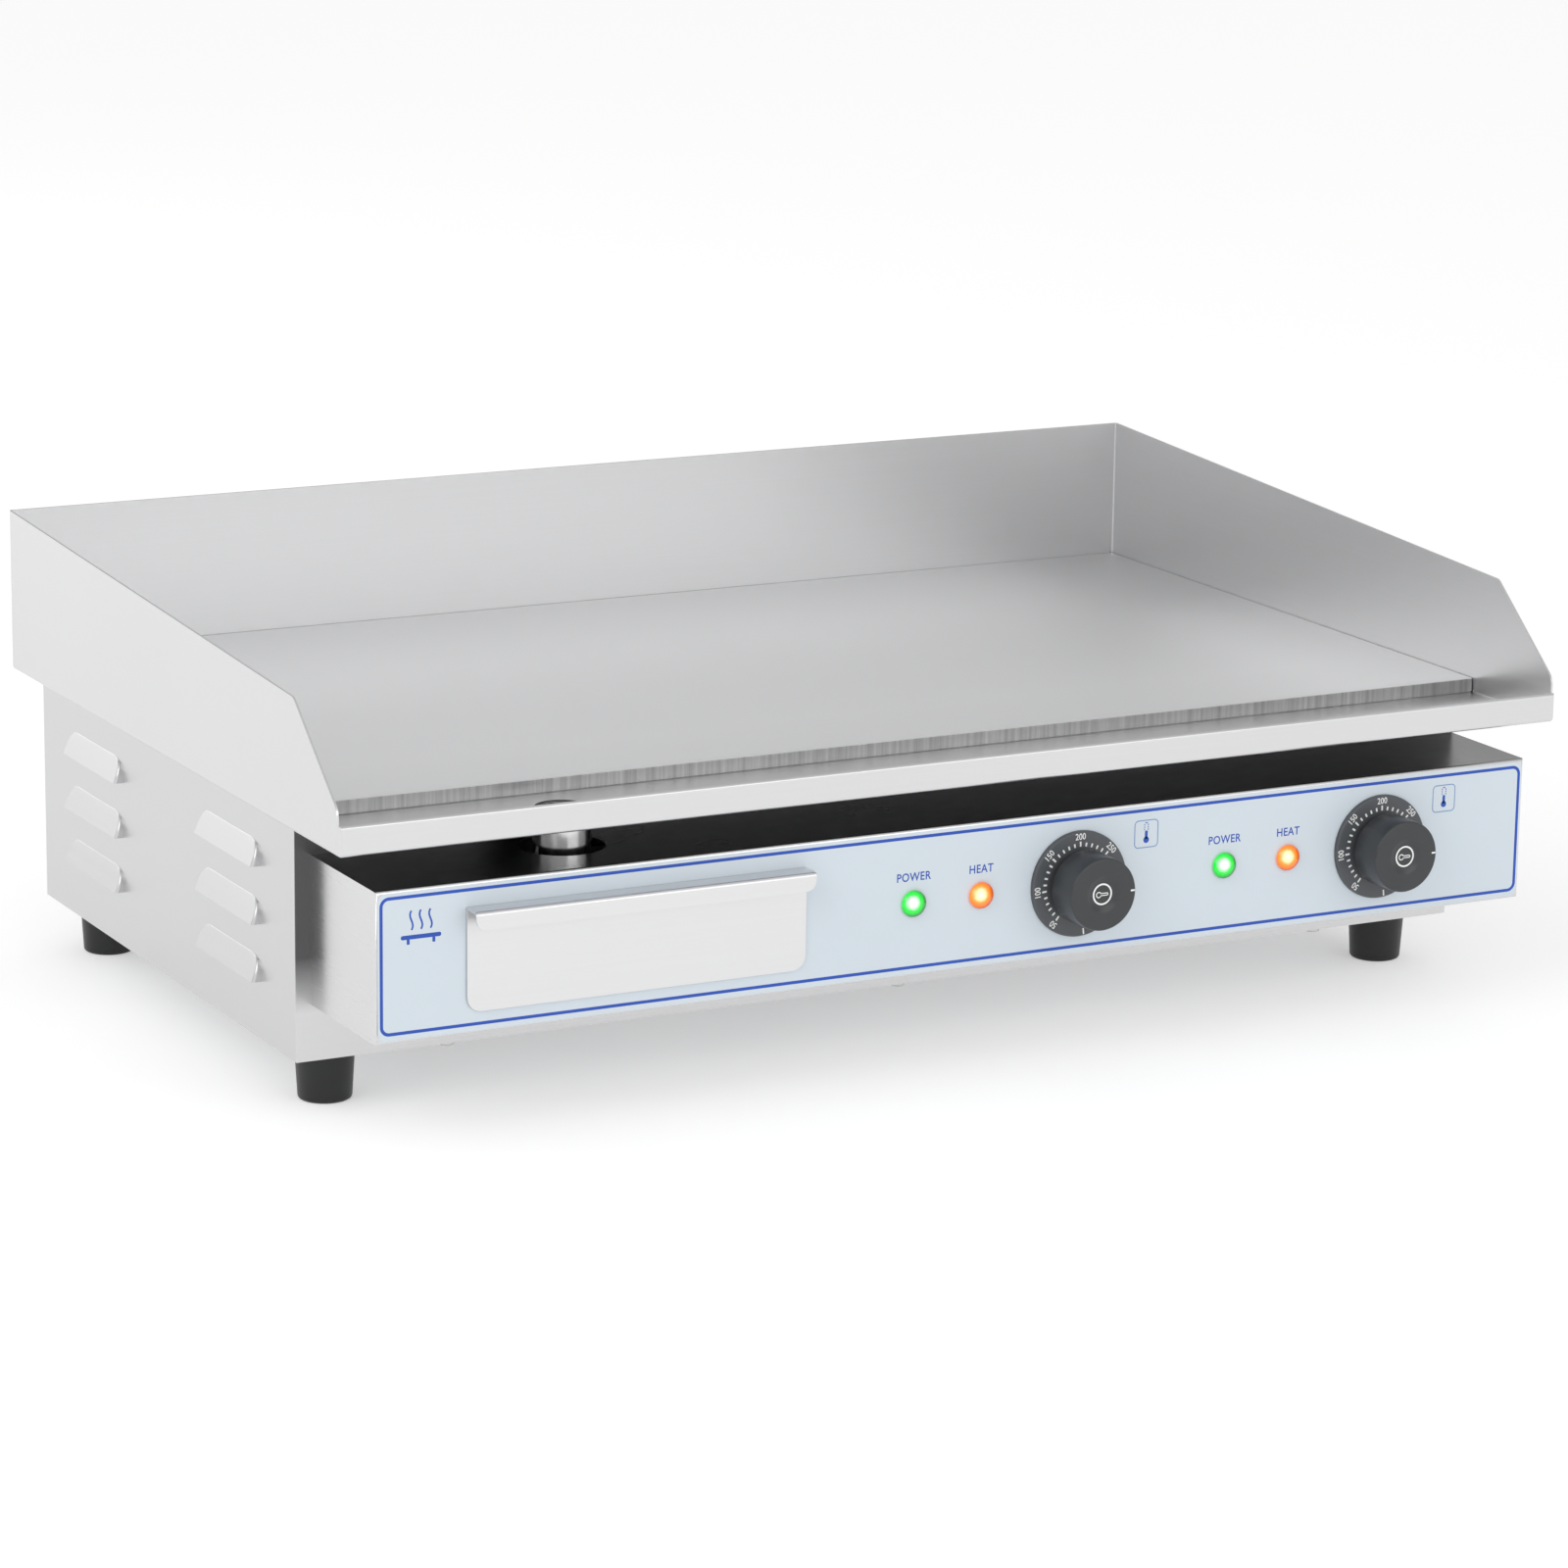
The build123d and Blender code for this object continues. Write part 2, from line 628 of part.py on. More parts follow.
def knob(x):
    """A round grip with a dished face, and behind it a narrower skirt that clears the dial."""
    skirt_y = knob_base_y - skirt_height
    outline = ((0, knob_face_y + dimple_depth), (dimple_floor_radius, knob_face_y + dimple_depth),
               (dimple_radius, knob_face_y), (knob_radius - knob_draft, knob_face_y),
               (knob_radius, skirt_y), (skirt_radius, skirt_y),
               (skirt_radius, knob_base_y), (skirt_radius - knob_wall, knob_base_y),
               (skirt_radius - knob_wall, knob_face_y + knob_face_thickness),
               (hub_radius, knob_face_y + knob_face_thickness), (hub_radius, knob_base_y - 1),
               (0, knob_base_y - 1))
    grip = turned_y(outline, x, control_z)
    rim = grip.edges().filter_by(GeomType.CIRCLE).filter_by(
        lambda e: abs(e.radius - knob_radius + knob_draft) < 0.01)
    grip = fillet(rim, knob_rim_radius)
    bore = bar_y(x, control_z, knob_face_y + knob_face_thickness + 0.4, knob_base_y + 2,
                 shaft_radius + 0.02)
    return grip - (bore - span(x - 4, x + 4, knob_face_y, bezel_front_y, control_z + 1.62, control_z + 4))


# ---------------------------------------------------------------- lamps

def lamp_lens(x):
    """A coloured lens: a shallow dome with a thin rim, and a stem that goes in the panel hole."""
    rim_y = panel_y - 1.0
    stem = lamp_barrel_radius - 0.8
    tip = (0, panel_y - lamp_rise)
    shoulder = (lamp_radius * 0.72, panel_y - lamp_rise * 0.74)
    with BuildPart() as lens:
        with BuildSketch(Plane.XY):
            with BuildLine():
                ThreePointArc(tip, shoulder, (lamp_radius, rim_y))
                Polyline((lamp_radius, rim_y), (lamp_radius, panel_y), (stem, panel_y),
                         (stem, panel_y + 6.0), (0, panel_y + 6.0), tip)
            make_face()
        revolve(axis=Axis.Y)
    return Pos(x, 0, control_z) * lens.part


def lamp_holders():
    """Behind the panel: a plastic barrel with a push-on nut for each lamp."""
    holders = []
    for x in lamp_places().values():
        barrel = bar_y(x, control_z, panel_y, inside_panel_y + 20.0, lamp_barrel_radius)
        nut = bar_y(x, control_z, inside_panel_y, inside_panel_y + 2.0, 7.5)
        bore = bar_y(x, control_z, panel_y - 1, panel_y + 6.0, lamp_barrel_radius - 0.8)
        holders.append(barrel + nut - bore)
    return holders


# ---------------------------------------------------------------- heating

def heating_element(zone):
    """A tube in even passes, back and forth under one half of the plate."""
    half = (element_passes - 1) / 2
    xs = [zone + (i - half) * element_pitch for i in range(element_passes)]
    turn = element_pitch / 2
    edges = []
    for i, x in enumerate(xs):
        going_back = i % 2 == 0
        low_y = terminal_y if i in (0, element_passes - 1) else element_front_y
        start, end = (low_y, element_back_y) if going_back else (element_back_y, low_y)
        edges.append(Line((x, start, element_z), (x, end, element_z)))
        if i < element_passes - 1:
            bend = turn if going_back else -turn
            edges.append(ThreePointArc((x, end, element_z), (x + turn, end + bend, element_z),
                                       (x + element_pitch, end, element_z)))
    path = Wire(edges)
    start_plane = Plane(origin=(xs[0], terminal_y, element_z), z_dir=(0, 1, 0))
    return sweep(start_plane * Circle(element_radius), path=path)


def element_clamps():
    bars = []
    for zone in zone_x:
        for y in clamp_y:
            bar = span(zone - clamp_half_length, zone + clamp_half_length,
                       y - clamp_width / 2, y + clamp_width / 2, clamp_top_z - clamp_thickness, clamp_top_z)
            bar = fillet(bar.edges().filter_by(Axis.Z), clamp_corner_radius)
            for i in (-1, 0, 1):
                bar -= post(zone + i * 2 * element_pitch, y, clamp_top_z - 5, clamp_top_z + 1,
                            stud_radius + 0.3)
            bars.append(bar)
    return bars


def heat_shield():
    """A shallow pan that hangs under the elements from the top flanges of the side panels."""
    top_z = tray_bottom_z - body_sheet - 0.1
    outer = span(-shield_half_width, shield_half_width, shield_front_y, shield_back_y, shield_z, top_z)
    inner = span(-shield_half_width + body_sheet, shield_half_width - body_sheet,
                 shield_front_y + body_sheet, shield_back_y - body_sheet, shield_z + body_sheet, top_z + 1)
    pan = outer - inner
    for side in (-1, 1):
        low_x, high_x = sorted((side * (shield_half_width - body_sheet), side * (body_half_width - 18)))
        pan += span(low_x, high_x, shield_front_y + 30, shield_back_y - 20, top_z - body_sheet, top_z)
    slot_z = element_z - element_radius - 1
    for zone in zone_x:
        for i in (-2.5, 2.5):
            x = zone + i * element_pitch
            pan -= span(x - 6, x + 6, shield_front_y - 1, shield_front_y + 2, slot_z, top_z + 1)
        pan -= span(zone + 9, zone + 15, shield_front_y - 1, shield_front_y + 2, slot_z, top_z + 1)
    return pan


def insulation_pad():
    return span(-shield_half_width + 3, shield_half_width - 3, shield_front_y + 3, shield_back_y - 3,
                shield_z + body_sheet, shield_z + body_sheet + 9.0)


# ---------------------------------------------------------------- rear connections

terminal_block_y = 185.0
tower_pitch = 17.0
pan_top_z = foot_height + body_sheet


def terminal_block(x):
    base = span(x - 30, x + 30, terminal_block_y - 12, terminal_block_y + 12, pan_top_z, pan_top_z + 8)
    for i in (-1, 0, 1):
        tower_x = x + i * tower_pitch
        tower = span(tower_x - 7, tower_x + 7, terminal_block_y - 9, terminal_block_y + 9,
                     pan_top_z + 8, pan_top_z + 20)
        tower -= post(tower_x, terminal_block_y - 4, pan_top_z + 12, pan_top_z + 21, 2.2)
        tower -= bar_y(tower_x, pan_top_z + 12, terminal_block_y, terminal_block_y + 10, 2.2)
        base += tower
    return base


def cable_gland(x):
    """A threaded body through the rear panel, with a hexagon and a domed clamping cap."""
    outer_y = body_back_y
    body = bar_y(x, rear_fitting_z, body_back_y - 11, outer_y, 8.0)
    hexagon = RegularPolygon(12.0, 6, major_radius=False)
    hexagon = extrude(Plane(origin=(x, outer_y, rear_fitting_z), z_dir=(0, 1, 0)) * hexagon, 6.0)
    cap = bar_y(x, rear_fitting_z, outer_y + 6.0, outer_y + 19.0, 10.5)
    cap = fillet(cap.edges().sort_by(Axis.Y)[-1], 4.0)
    return body + hexagon + cap - bar_y(x, rear_fitting_z, body_back_y - 12, outer_y + 20, gland_bore_radius)


def gland_locknuts():
    nuts = []
    for x in (-gland_x, gland_x):
        blank = RegularPolygon(11.0, 6, major_radius=False) - Circle(8.05)
        face = Plane(origin=(x, body_back_y - body_sheet, rear_fitting_z), z_dir=(0, -1, 0))
        nuts.append(extrude(face * blank, 4.0))
    return nuts


def bonding_stud():
    """The equipotential terminal that commercial kitchens bond together: a body held by two nuts,
    a relief neck, and the free end that takes the wire."""
    nut_face_y = body_back_y + nut_height
    free_y = nut_face_y + bond_neck_length
    body = bar_y(bond_stud_x, rear_fitting_z, body_back_y - 10, nut_face_y, bond_body_radius)
    neck = bar_y(bond_stud_x, rear_fitting_z, nut_face_y, free_y, bond_neck_radius)
    return body + neck + bar_y(bond_stud_x, rear_fitting_z, free_y, free_y + bond_free_length, stud_radius)


def bonding_nuts():
    nuts = []
    for y, direction in ((body_back_y, 1), (body_back_y - body_sheet, -1)):
        blank = RegularPolygon(bond_across_flats / 2, 6, major_radius=False)
        blank -= Circle(bond_body_radius + running_clearance)
        face = Plane(origin=(bond_stud_x, y, rear_fitting_z), z_dir=(0, direction, 0))
        nuts.append(extrude(face * blank, nut_height))
    return nuts


def earth_stud():
    stud = post(205.0, terminal_block_y, pan_top_z, pan_top_z + 16, 2.5)
    return stud + hex_nut(205.0, terminal_block_y, pan_top_z, 4.0, 8.0, 2.4)


# ---------------------------------------------------------------- grease drawer

drawer_back_y = panel_y - clearance + drawer_tray_depth
runner_shelf_z = drawer_tray_bottom_z - clearance


def drawer_runner(side):
    """An angle that carries one side of the drawer, standing on the housing floor."""
    web_x = drawer_x + side * (drawer_tray_width / 2 + 1.5)
    low_x, high_x = sorted((web_x, web_x + side * body_sheet))
    y_low = inside_panel_y + 1.0
    web = span(low_x, high_x, y_low, drawer_back_y - 8, 67.0, 117.0)
    shelf_x = sorted((web_x, web_x - side * 12.0))
    web += span(shelf_x[0], shelf_x[1], y_low, drawer_back_y - 8, runner_shelf_z - body_sheet, runner_shelf_z)
    floor_z = housing_bottom_z + body_sheet
    for y in (y_low + 5, body_front_y - 25):
        web += span(low_x, high_x, y, y + 15, floor_z, 68.0)
    return web


drawer_rivet_x = (drawer_x - 60.0, drawer_x + 60.0)


def drawer_tray():
    half = drawer_tray_width / 2
    y_low = panel_y - clearance
    outer = span(drawer_x - half, drawer_x + half, y_low, drawer_back_y,
                 drawer_tray_bottom_z, drawer_tray_top_z)
    outer = fillet(outer.edges().filter_by(Axis.Z).group_by(Axis.Y)[-1], 3.0)
    inner = span(drawer_x - half + body_sheet, drawer_x + half - body_sheet, y_low + body_sheet,
                 drawer_back_y - body_sheet, drawer_tray_bottom_z + body_sheet, drawer_tray_top_z + 1)
    inner = fillet(inner.edges().filter_by(Axis.Z).group_by(Axis.Y)[-1], 2.0)
    tray = outer - inner
    for x in drawer_rivet_x:
        tray -= bar_y(x, control_z, y_low - 1, y_low + 2, rivet_radius + running_clearance)
    return tray


def drawer_front():
    """A plain front sheet whose top edge is folded forward and down as a finger pull."""
    half = drawer_front_width / 2
    back = panel_y - clearance
    face = back - guard_sheet
    pull_y = panel_y - handle_reach
    sheet = span(drawer_x - half, drawer_x + half, face, back, drawer_front_bottom_z, drawer_front_top_z)
    sheet = fillet(sheet.edges().filter_by(Axis.Y).group_by(Axis.Z)[0], drawer_corner_radius)
    top = drawer_front_top_z
    fold = side_sheet(((back, top), (pull_y, top), (pull_y, top - handle_lip),
                       (pull_y + guard_sheet, top - handle_lip), (pull_y + guard_sheet, top - guard_sheet),
                       (back, top - guard_sheet)), half)
    outer_bend = fold.edges().filter_by(Axis.X).sort_by_distance((0, pull_y, top))[0]
    fold = fillet(outer_bend, handle_bend)
    inner_corner = (0, pull_y + guard_sheet, top - guard_sheet)
    inner_bend = fold.edges().filter_by(Axis.X).sort_by_distance(inner_corner)[0]
    fold = fillet(inner_bend, handle_bend - guard_sheet)
    lip_corners = fold.edges().filter_by(Axis.Y).filter_by(lambda e: e.center().Z < top - handle_lip + 0.1)
    fold = fillet(lip_corners, handle_corner_radius)
    for x in drawer_rivet_x:
        sheet -= bar_y(x, control_z, face + 0.6, back + 1, rivet_radius + running_clearance)
    return sheet + Pos(drawer_x, 0, 0) * fold


def drawer_rivets():
    head_y = panel_y - clearance - guard_sheet + 0.6
    tail_y = panel_y - clearance + body_sheet
    rivets = []
    for x in drawer_rivet_x:
        tail = bar_y(x, control_z, tail_y, tail_y + 1.5, 2 * rivet_radius)
        rivets.append(tail + bar_y(x, control_z, head_y, tail_y, rivet_radius))
    return rivets


# ---------------------------------------------------------------- the whole griddle

def all_nodes():
    nodes = {
        "splash_tray": splash_tray(),
        "griddle_plate": griddle_plate(),
        "plate_studs": plate_studs(),
        "plate_nuts": plate_nuts(),
        "clamp_nuts": clamp_nuts(),
        "drain_pipe": drain_pipe(),
        "front_bulkhead": front_bulkhead(),
        "rear_panel": rear_panel(),
        "side_panel_left": side_panel(-1),
        "side_panel_right": side_panel(1),
        "base_pan": base_pan(),
        "base_screws": base_screws(),
        "foot_screws": foot_screws(),
        "foot_nuts": foot_nuts(),
        "control_housing": control_housing(),
        "housing_screws": housing_screws(),
        "panel_label": panel_label(),
        "wiring_grommets": wiring_grommets(),
        "bezel_screws": bezel_screws(),
        "lamp_holders": lamp_holders(),
        "element_clamps": element_clamps(),
        "heat_shield": heat_shield(),
        "insulation_pad": insulation_pad(),
        "gland_locknuts": gland_locknuts(),
        "bonding_stud": bonding_stud(),
        "bonding_nuts": bonding_nuts(),
        "earth_stud": earth_stud(),
        "drawer_tray": drawer_tray(),
        "drawer_front": drawer_front(),
        "drawer_rivets": drawer_rivets(),
    }
    for name, x, zone, side in zip(zone_names, dial_x, zone_x, (-1, 1)):
        nodes[f"dial_bezel_{name}"] = dial_bezel(x)
        nodes[f"thermostat_{name}"] = thermostat(x)
        nodes[f"temperature_sensor_{name}"] = temperature_sensor(x, zone)
        nodes[f"knob_{name}"] = knob(x)
        nodes[f"knob_shaft_{name}"] = knob_shaft(x)
        nodes[f"heating_element_{name}"] = heating_element(zone)
        nodes[f"terminal_block_{name}"] = terminal_block(side * gland_x)
        nodes[f"cable_gland_{name}"] = cable_gland(side * gland_x)
        nodes[f"drawer_runner_{name}"] = drawer_runner(side)
        nodes[f"foot_front_{name}"] = foot(side * foot_x, foot_y[0])
        nodes[f"foot_rear_{name}"] = foot(side * foot_x, foot_y[1])
    for name, x in lamp_places().items():
        nodes[name] = lamp_lens(x)
    return nodes


os.makedirs("parts", exist_ok=True)
for node, shape in all_nodes().items():
    whole = Compound(children=shape) if isinstance(shape, list) else shape
    export_step(whole, f"parts/{node}.step")
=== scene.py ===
import math

import bmesh
import bpy
from mathutils import Matrix, Vector


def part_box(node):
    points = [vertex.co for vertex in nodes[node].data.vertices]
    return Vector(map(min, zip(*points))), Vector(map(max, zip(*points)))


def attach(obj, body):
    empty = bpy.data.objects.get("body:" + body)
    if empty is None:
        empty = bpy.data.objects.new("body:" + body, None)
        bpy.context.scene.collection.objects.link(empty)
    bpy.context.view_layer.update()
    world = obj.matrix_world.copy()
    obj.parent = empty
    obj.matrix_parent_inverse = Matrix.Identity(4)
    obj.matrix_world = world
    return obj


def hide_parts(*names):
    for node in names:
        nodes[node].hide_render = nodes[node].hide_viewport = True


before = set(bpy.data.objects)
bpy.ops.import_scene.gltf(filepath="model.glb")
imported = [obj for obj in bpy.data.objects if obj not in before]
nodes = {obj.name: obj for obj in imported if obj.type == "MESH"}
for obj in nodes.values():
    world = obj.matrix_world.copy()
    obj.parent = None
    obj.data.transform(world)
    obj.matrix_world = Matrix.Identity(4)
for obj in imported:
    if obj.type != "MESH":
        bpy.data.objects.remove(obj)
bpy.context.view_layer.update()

mm = 0.001


# ------------------------------------------------------------------ studio
# A plain white floor under a soft white room. A long lens looks down on the griddle from the
# front left, and three large soft lights, at the left, in front and behind, shape the steel.

scene = bpy.context.scene
scene.view_settings.view_transform = "Standard"


def shader_nodes(owner):
    """An emptied node tree, ready for its own shader."""
    owner.use_nodes = True
    owner.node_tree.nodes.clear()
    return owner.node_tree.nodes, owner.node_tree.links


def new_finish(name):
    """A material with one shader, and the tree, links and shader to build it with."""
    material = bpy.data.materials.new(name)
    tree, links = shader_nodes(material)
    shader = tree.new("ShaderNodeBsdfPrincipled")
    links.new(shader.outputs[0], tree.new("ShaderNodeOutputMaterial").inputs[0])
    return material, tree, links, shader


def studio_room():
    brighter_towards, mean_strength = (-0.06, -0.16, 0.04), 0.88
    world = bpy.data.worlds.new("white_room")
    scene.world = world
    tree, links = shader_nodes(world)
    direction = tree.new("ShaderNodeTexCoord")
    lean = tree.new("ShaderNodeVectorMath")
    lean.operation = "DOT_PRODUCT"
    lean.inputs[1].default_value = brighter_towards
    shade = tree.new("ShaderNodeMath")
    shade.operation = "ADD"
    shade.inputs[1].default_value = mean_strength
    background = tree.new("ShaderNodeBackground")
    output = tree.new("ShaderNodeOutputWorld")
    links.new(direction.outputs["Generated"], lean.inputs[0])
    links.new(lean.outputs["Value"], shade.inputs[0])
    links.new(shade.outputs[0], background.inputs["Strength"])
    links.new(background.outputs[0], output.inputs[0])


def soft_light(name, place, aim, width, height, power):
    bpy.ops.object.light_add(type="AREA", location=place)
    light = bpy.context.object
    light.name = name
    light.data.shape = "RECTANGLE"
    light.data.size = width
    light.data.size_y = height
    light.data.energy = power
    light.rotation_euler = (Vector(aim) - Vector(place)).to_track_quat("-Z", "Y").to_euler()


def studio_camera():
    azimuth, elevation, roll = math.radians(-27.744), math.radians(13.716), math.radians(0.795)
    stand = (-1.36898, -2.60397, 0.82761)
    bpy.ops.object.camera_add()
    camera = bpy.context.object
    camera.data.sensor_width = 36.0
    camera.data.lens = 123.63
    camera.data.clip_end = 60.0
    turn = Matrix.Rotation(azimuth, 4, "Z") @ Matrix.Rotation(math.pi / 2 - elevation, 4, "X")
    camera.matrix_world = Matrix.Translation(stand) @ turn @ Matrix.Rotation(roll, 4, "Z")
    scene.camera = camera


def floor():
    bpy.ops.mesh.primitive_plane_add(size=40.0)
    plane = bpy.context.object
    plane.name = "studio_floor"
    paper, *_, shader = new_finish("white_paper")
    shader.inputs["Base Color"].default_value = (0.80, 0.80, 0.80, 1)
    shader.inputs["Roughness"].default_value = 0.9
    shader.inputs["Specular IOR Level"].default_value = 0.1
    shader.inputs["Emission Color"].default_value = (1, 1, 1, 1)
    shader.inputs["Emission Strength"].default_value = 0.37
    plane.data.materials.append(paper)


bpy.ops.object.select_all(action="DESELECT")
studio_room()
soft_light("left_window", (-2.6, -1.2, 1.9), (0, 0, 0.15), 2.4, 1.8, 20)
soft_light("front_fill", (0.9, -3.2, 1.3), (0, 0, 0.15), 2.6, 1.4, 16)
soft_light("back_window", (-1.6, 2.7, 1.0), (0, 0, 0.1), 2.4, 1.6, 12)
studio_camera()
floor()


# ------------------------------------------------------------------ splash tray
# One sheet of 1.2 mm stainless steel, folded up at the back and sides as guards and at the
# front as a hemmed rail. It has a fine horizontal grind, and its edges are broken by hand.

def steel(name, colour, roughness, grain=0.05, streak=(7.0, 7.0, 900.0), smudge=0.04, relief=0.05):
    """Ground stainless steel: streaks along the sheet, faint clouding, and a little bump."""
    material, tree, links, shader = new_finish(name)
    shader.inputs["Metallic"].default_value = 1.0
    place = tree.new("ShaderNodeTexCoord")

    stretch = tree.new("ShaderNodeMapping")
    stretch.inputs["Scale"].default_value = streak
    links.new(place.outputs["Object"], stretch.inputs["Vector"])
    streaks = tree.new("ShaderNodeTexNoise")
    streaks.inputs["Scale"].default_value = 1.0
    streaks.inputs["Detail"].default_value = 5.0
    links.new(stretch.outputs[0], streaks.inputs["Vector"])

    clouds = tree.new("ShaderNodeTexNoise")
    clouds.inputs["Scale"].default_value = 5.0
    clouds.inputs["Detail"].default_value = 3.0
    links.new(place.outputs["Object"], clouds.inputs["Vector"])

    rough = tree.new("ShaderNodeMapRange")
    rough.inputs["To Min"].default_value = roughness - grain
    rough.inputs["To Max"].default_value = roughness + grain
    links.new(streaks.outputs["Fac"], rough.inputs["Value"])
    links.new(rough.outputs[0], shader.inputs["Roughness"])

    tint = tree.new("ShaderNodeMix")
    tint.data_type = "RGBA"
    tint.inputs["A"].default_value = (*[c * (1 - smudge) for c in colour], 1)
    tint.inputs["B"].default_value = (*[min(1, c * (1 + smudge)) for c in colour], 1)
    streak_share = 0.5
    blend = tree.new("ShaderNodeMath")
    blend.operation = "MULTIPLY_ADD"
    blend.inputs[1].default_value = streak_share
    links.new(streaks.outputs["Fac"], blend.inputs[0])
    cloud_part = tree.new("ShaderNodeMath")
    cloud_part.operation = "MULTIPLY"
    cloud_part.inputs[1].default_value = 1 - streak_share
    links.new(clouds.outputs["Fac"], cloud_part.inputs[0])
    links.new(cloud_part.outputs[0], blend.inputs[2])
    links.new(blend.outputs[0], tint.inputs["Factor"])
    links.new(tint.outputs["Result"], shader.inputs["Base Color"])

    bump = tree.new("ShaderNodeBump")
    bump.inputs["Strength"].default_value = relief
    bump.inputs["Distance"].default_value = 0.05 * mm
    links.new(streaks.outputs["Fac"], bump.inputs["Height"])
    links.new(bump.outputs[0], shader.inputs["Normal"])
    return material


def only(piece):
    """Makes this the one selected and active object."""
    bpy.ops.object.select_all(action="DESELECT")
    piece.select_set(True)
    bpy.context.view_layer.objects.active = piece


def finish(piece, body, material, angle=32):
    """Smooths the shading, gives the finish, and fixes the piece to its body."""
    only(piece)
    bpy.ops.object.transform_apply(location=True, rotation=True, scale=True)
    bpy.ops.object.shade_smooth_by_angle(angle=math.radians(angle))
    piece.data.materials.clear()
    piece.data.materials.append(material)
    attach(piece, body)


weld_gap, same_plane, broken_over = 0.004 * mm, math.radians(0.3), math.radians(50)


def faired(node, body, material, edge=0.25 * mm, angle=32):
    """A finished copy of a sheet or block: its faces are joined up and its edges broken.
    With no edge, as on pressed sheet, only the shading is smoothed."""
    piece = bpy.data.objects.new(node + "_finished", nodes[node].data.copy())
    scene.collection.objects.link(piece)
    only(piece)
    bpy.ops.object.mode_set(mode="EDIT")
    bpy.ops.mesh.select_all(action="SELECT")
    bpy.ops.mesh.remove_doubles(threshold=weld_gap)
    bpy.ops.mesh.dissolve_limited(angle_limit=same_plane)
    bpy.ops.object.mode_set(mode="OBJECT")
    if edge:
        bevel = piece.modifiers.new("broken_edges", "BEVEL")
        bevel.width = edge
        bevel.segments = 2
        bevel.limit_method = "ANGLE"
        bevel.angle_limit = broken_over
        bpy.ops.object.modifier_apply(modifier=bevel.name)
    finish(piece, body, material, angle)
    flat = piece.modifiers.new("flat_faces", "WEIGHTED_NORMAL")
    flat.keep_sharp = True
    flat.weight = 100
    bpy.ops.object.modifier_apply(modifier=flat.name)
    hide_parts(node)


guard_steel = steel("guard_stainless", (0.68, 0.68, 0.685), 0.32)
faired("splash_tray", "griddle", guard_steel)


# ------------------------------------------------------------------ griddle plate
# An 8 mm steel plate let in flush between the guards. Its top is ground along its length, and
# its front edge is left darker, with the upright marks of the guillotine.

# Painted shade on steel is mixed towards this near black.
painted_shade_black = (0.03, 0.03, 0.032, 1)


def paint_shade(material, socket, axis, low, high, depth):
    """Paints shade into a steel finish: takes it down towards black, softly from one place or direction to
    another.
    """
    tree, links = material.node_tree.nodes, material.node_tree.links
    shader = tree["Principled BSDF"]
    clean = shader.inputs["Base Color"].links[0].from_socket
    source = tree.new("ShaderNodeNewGeometry" if socket == "Normal" else "ShaderNodeTexCoord")
    split = tree.new("ShaderNodeSeparateXYZ")
    links.new(source.outputs[socket], split.inputs[0])
    shade_amount = tree.new("ShaderNodeMapRange")
    shade_amount.inputs["From Min"].default_value = low
    shade_amount.inputs["From Max"].default_value = high
    shade_amount.inputs["To Max"].default_value = depth
    links.new(split.outputs[axis], shade_amount.inputs["Value"])
    mix = tree.new("ShaderNodeMix")
    mix.data_type = "RGBA"
    mix.inputs["B"].default_value = painted_shade_black
    links.new(shade_amount.outputs[0], mix.inputs["Factor"])
    links.new(clean, mix.inputs["A"])
    links.new(mix.outputs["Result"], shader.inputs["Base Color"])
    return material


def plate_steel():
    shear_marks, mark_dark, mark_light = (420.0, 420.0, 14.0), 0.20, 0.66
    turns_front, faces_front = -0.6, -0.9
    material = steel("griddle_plate_steel", (0.84, 0.845, 0.85), 0.42, grain=0.04,
                     streak=(9.0, 1100.0, 60.0), smudge=0.03)
    tree, links = material.node_tree.nodes, material.node_tree.links
    shader = tree["Principled BSDF"]
    ground = shader.inputs["Base Color"].links[0].from_socket
    place = tree.new("ShaderNodeTexCoord")
    marks_at = tree.new("ShaderNodeMapping")
    marks_at.inputs["Scale"].default_value = shear_marks
    links.new(place.outputs["Object"], marks_at.inputs["Vector"])
    marks = tree.new("ShaderNodeTexNoise")
    marks.inputs["Scale"].default_value = 1.0
    marks.inputs["Detail"].default_value = 4.0
    links.new(marks_at.outputs[0], marks.inputs["Vector"])
    cut = tree.new("ShaderNodeMapRange")
    cut.inputs["To Min"].default_value = mark_dark
    cut.inputs["To Max"].default_value = mark_light
    links.new(marks.outputs["Fac"], cut.inputs["Value"])
    edge_shade = tree.new("ShaderNodeCombineColor")
    for channel in ("Red", "Green", "Blue"):
        links.new(cut.outputs[0], edge_shade.inputs[channel])
    facing = tree.new("ShaderNodeNewGeometry")
    split = tree.new("ShaderNodeSeparateXYZ")
    links.new(facing.outputs["Normal"], split.inputs[0])
    front = tree.new("ShaderNodeMapRange")
    front.inputs["From Min"].default_value = turns_front
    front.inputs["From Max"].default_value = faces_front
    links.new(split.outputs["Y"], front.inputs["Value"])
    mix = tree.new("ShaderNodeMix")
    mix.data_type = "RGBA"
    links.new(front.outputs[0], mix.inputs["Factor"])
    links.new(ground, mix.inputs["A"])
    links.new(edge_shade.outputs[0], mix.inputs["B"])
    links.new(mix.outputs["Result"], shader.inputs["Base Color"])
    return material


plate_finish = plate_steel()
# Painted shade: the plate's top is taken darker towards the back, standing in for the darker guards it
# reflects.
paint_shade(plate_finish, "Object", "Y", -0.08, 0.24, 0.26)
faired("griddle_plate", "griddle", plate_finish, edge=0.3 * mm)


# ------------------------------------------------------------------ body
# Bulkhead, side panels, rear panel and control housing: 1 mm stainless sheet, folded and
# spot-welded. The side panels have six pressed louvres each.

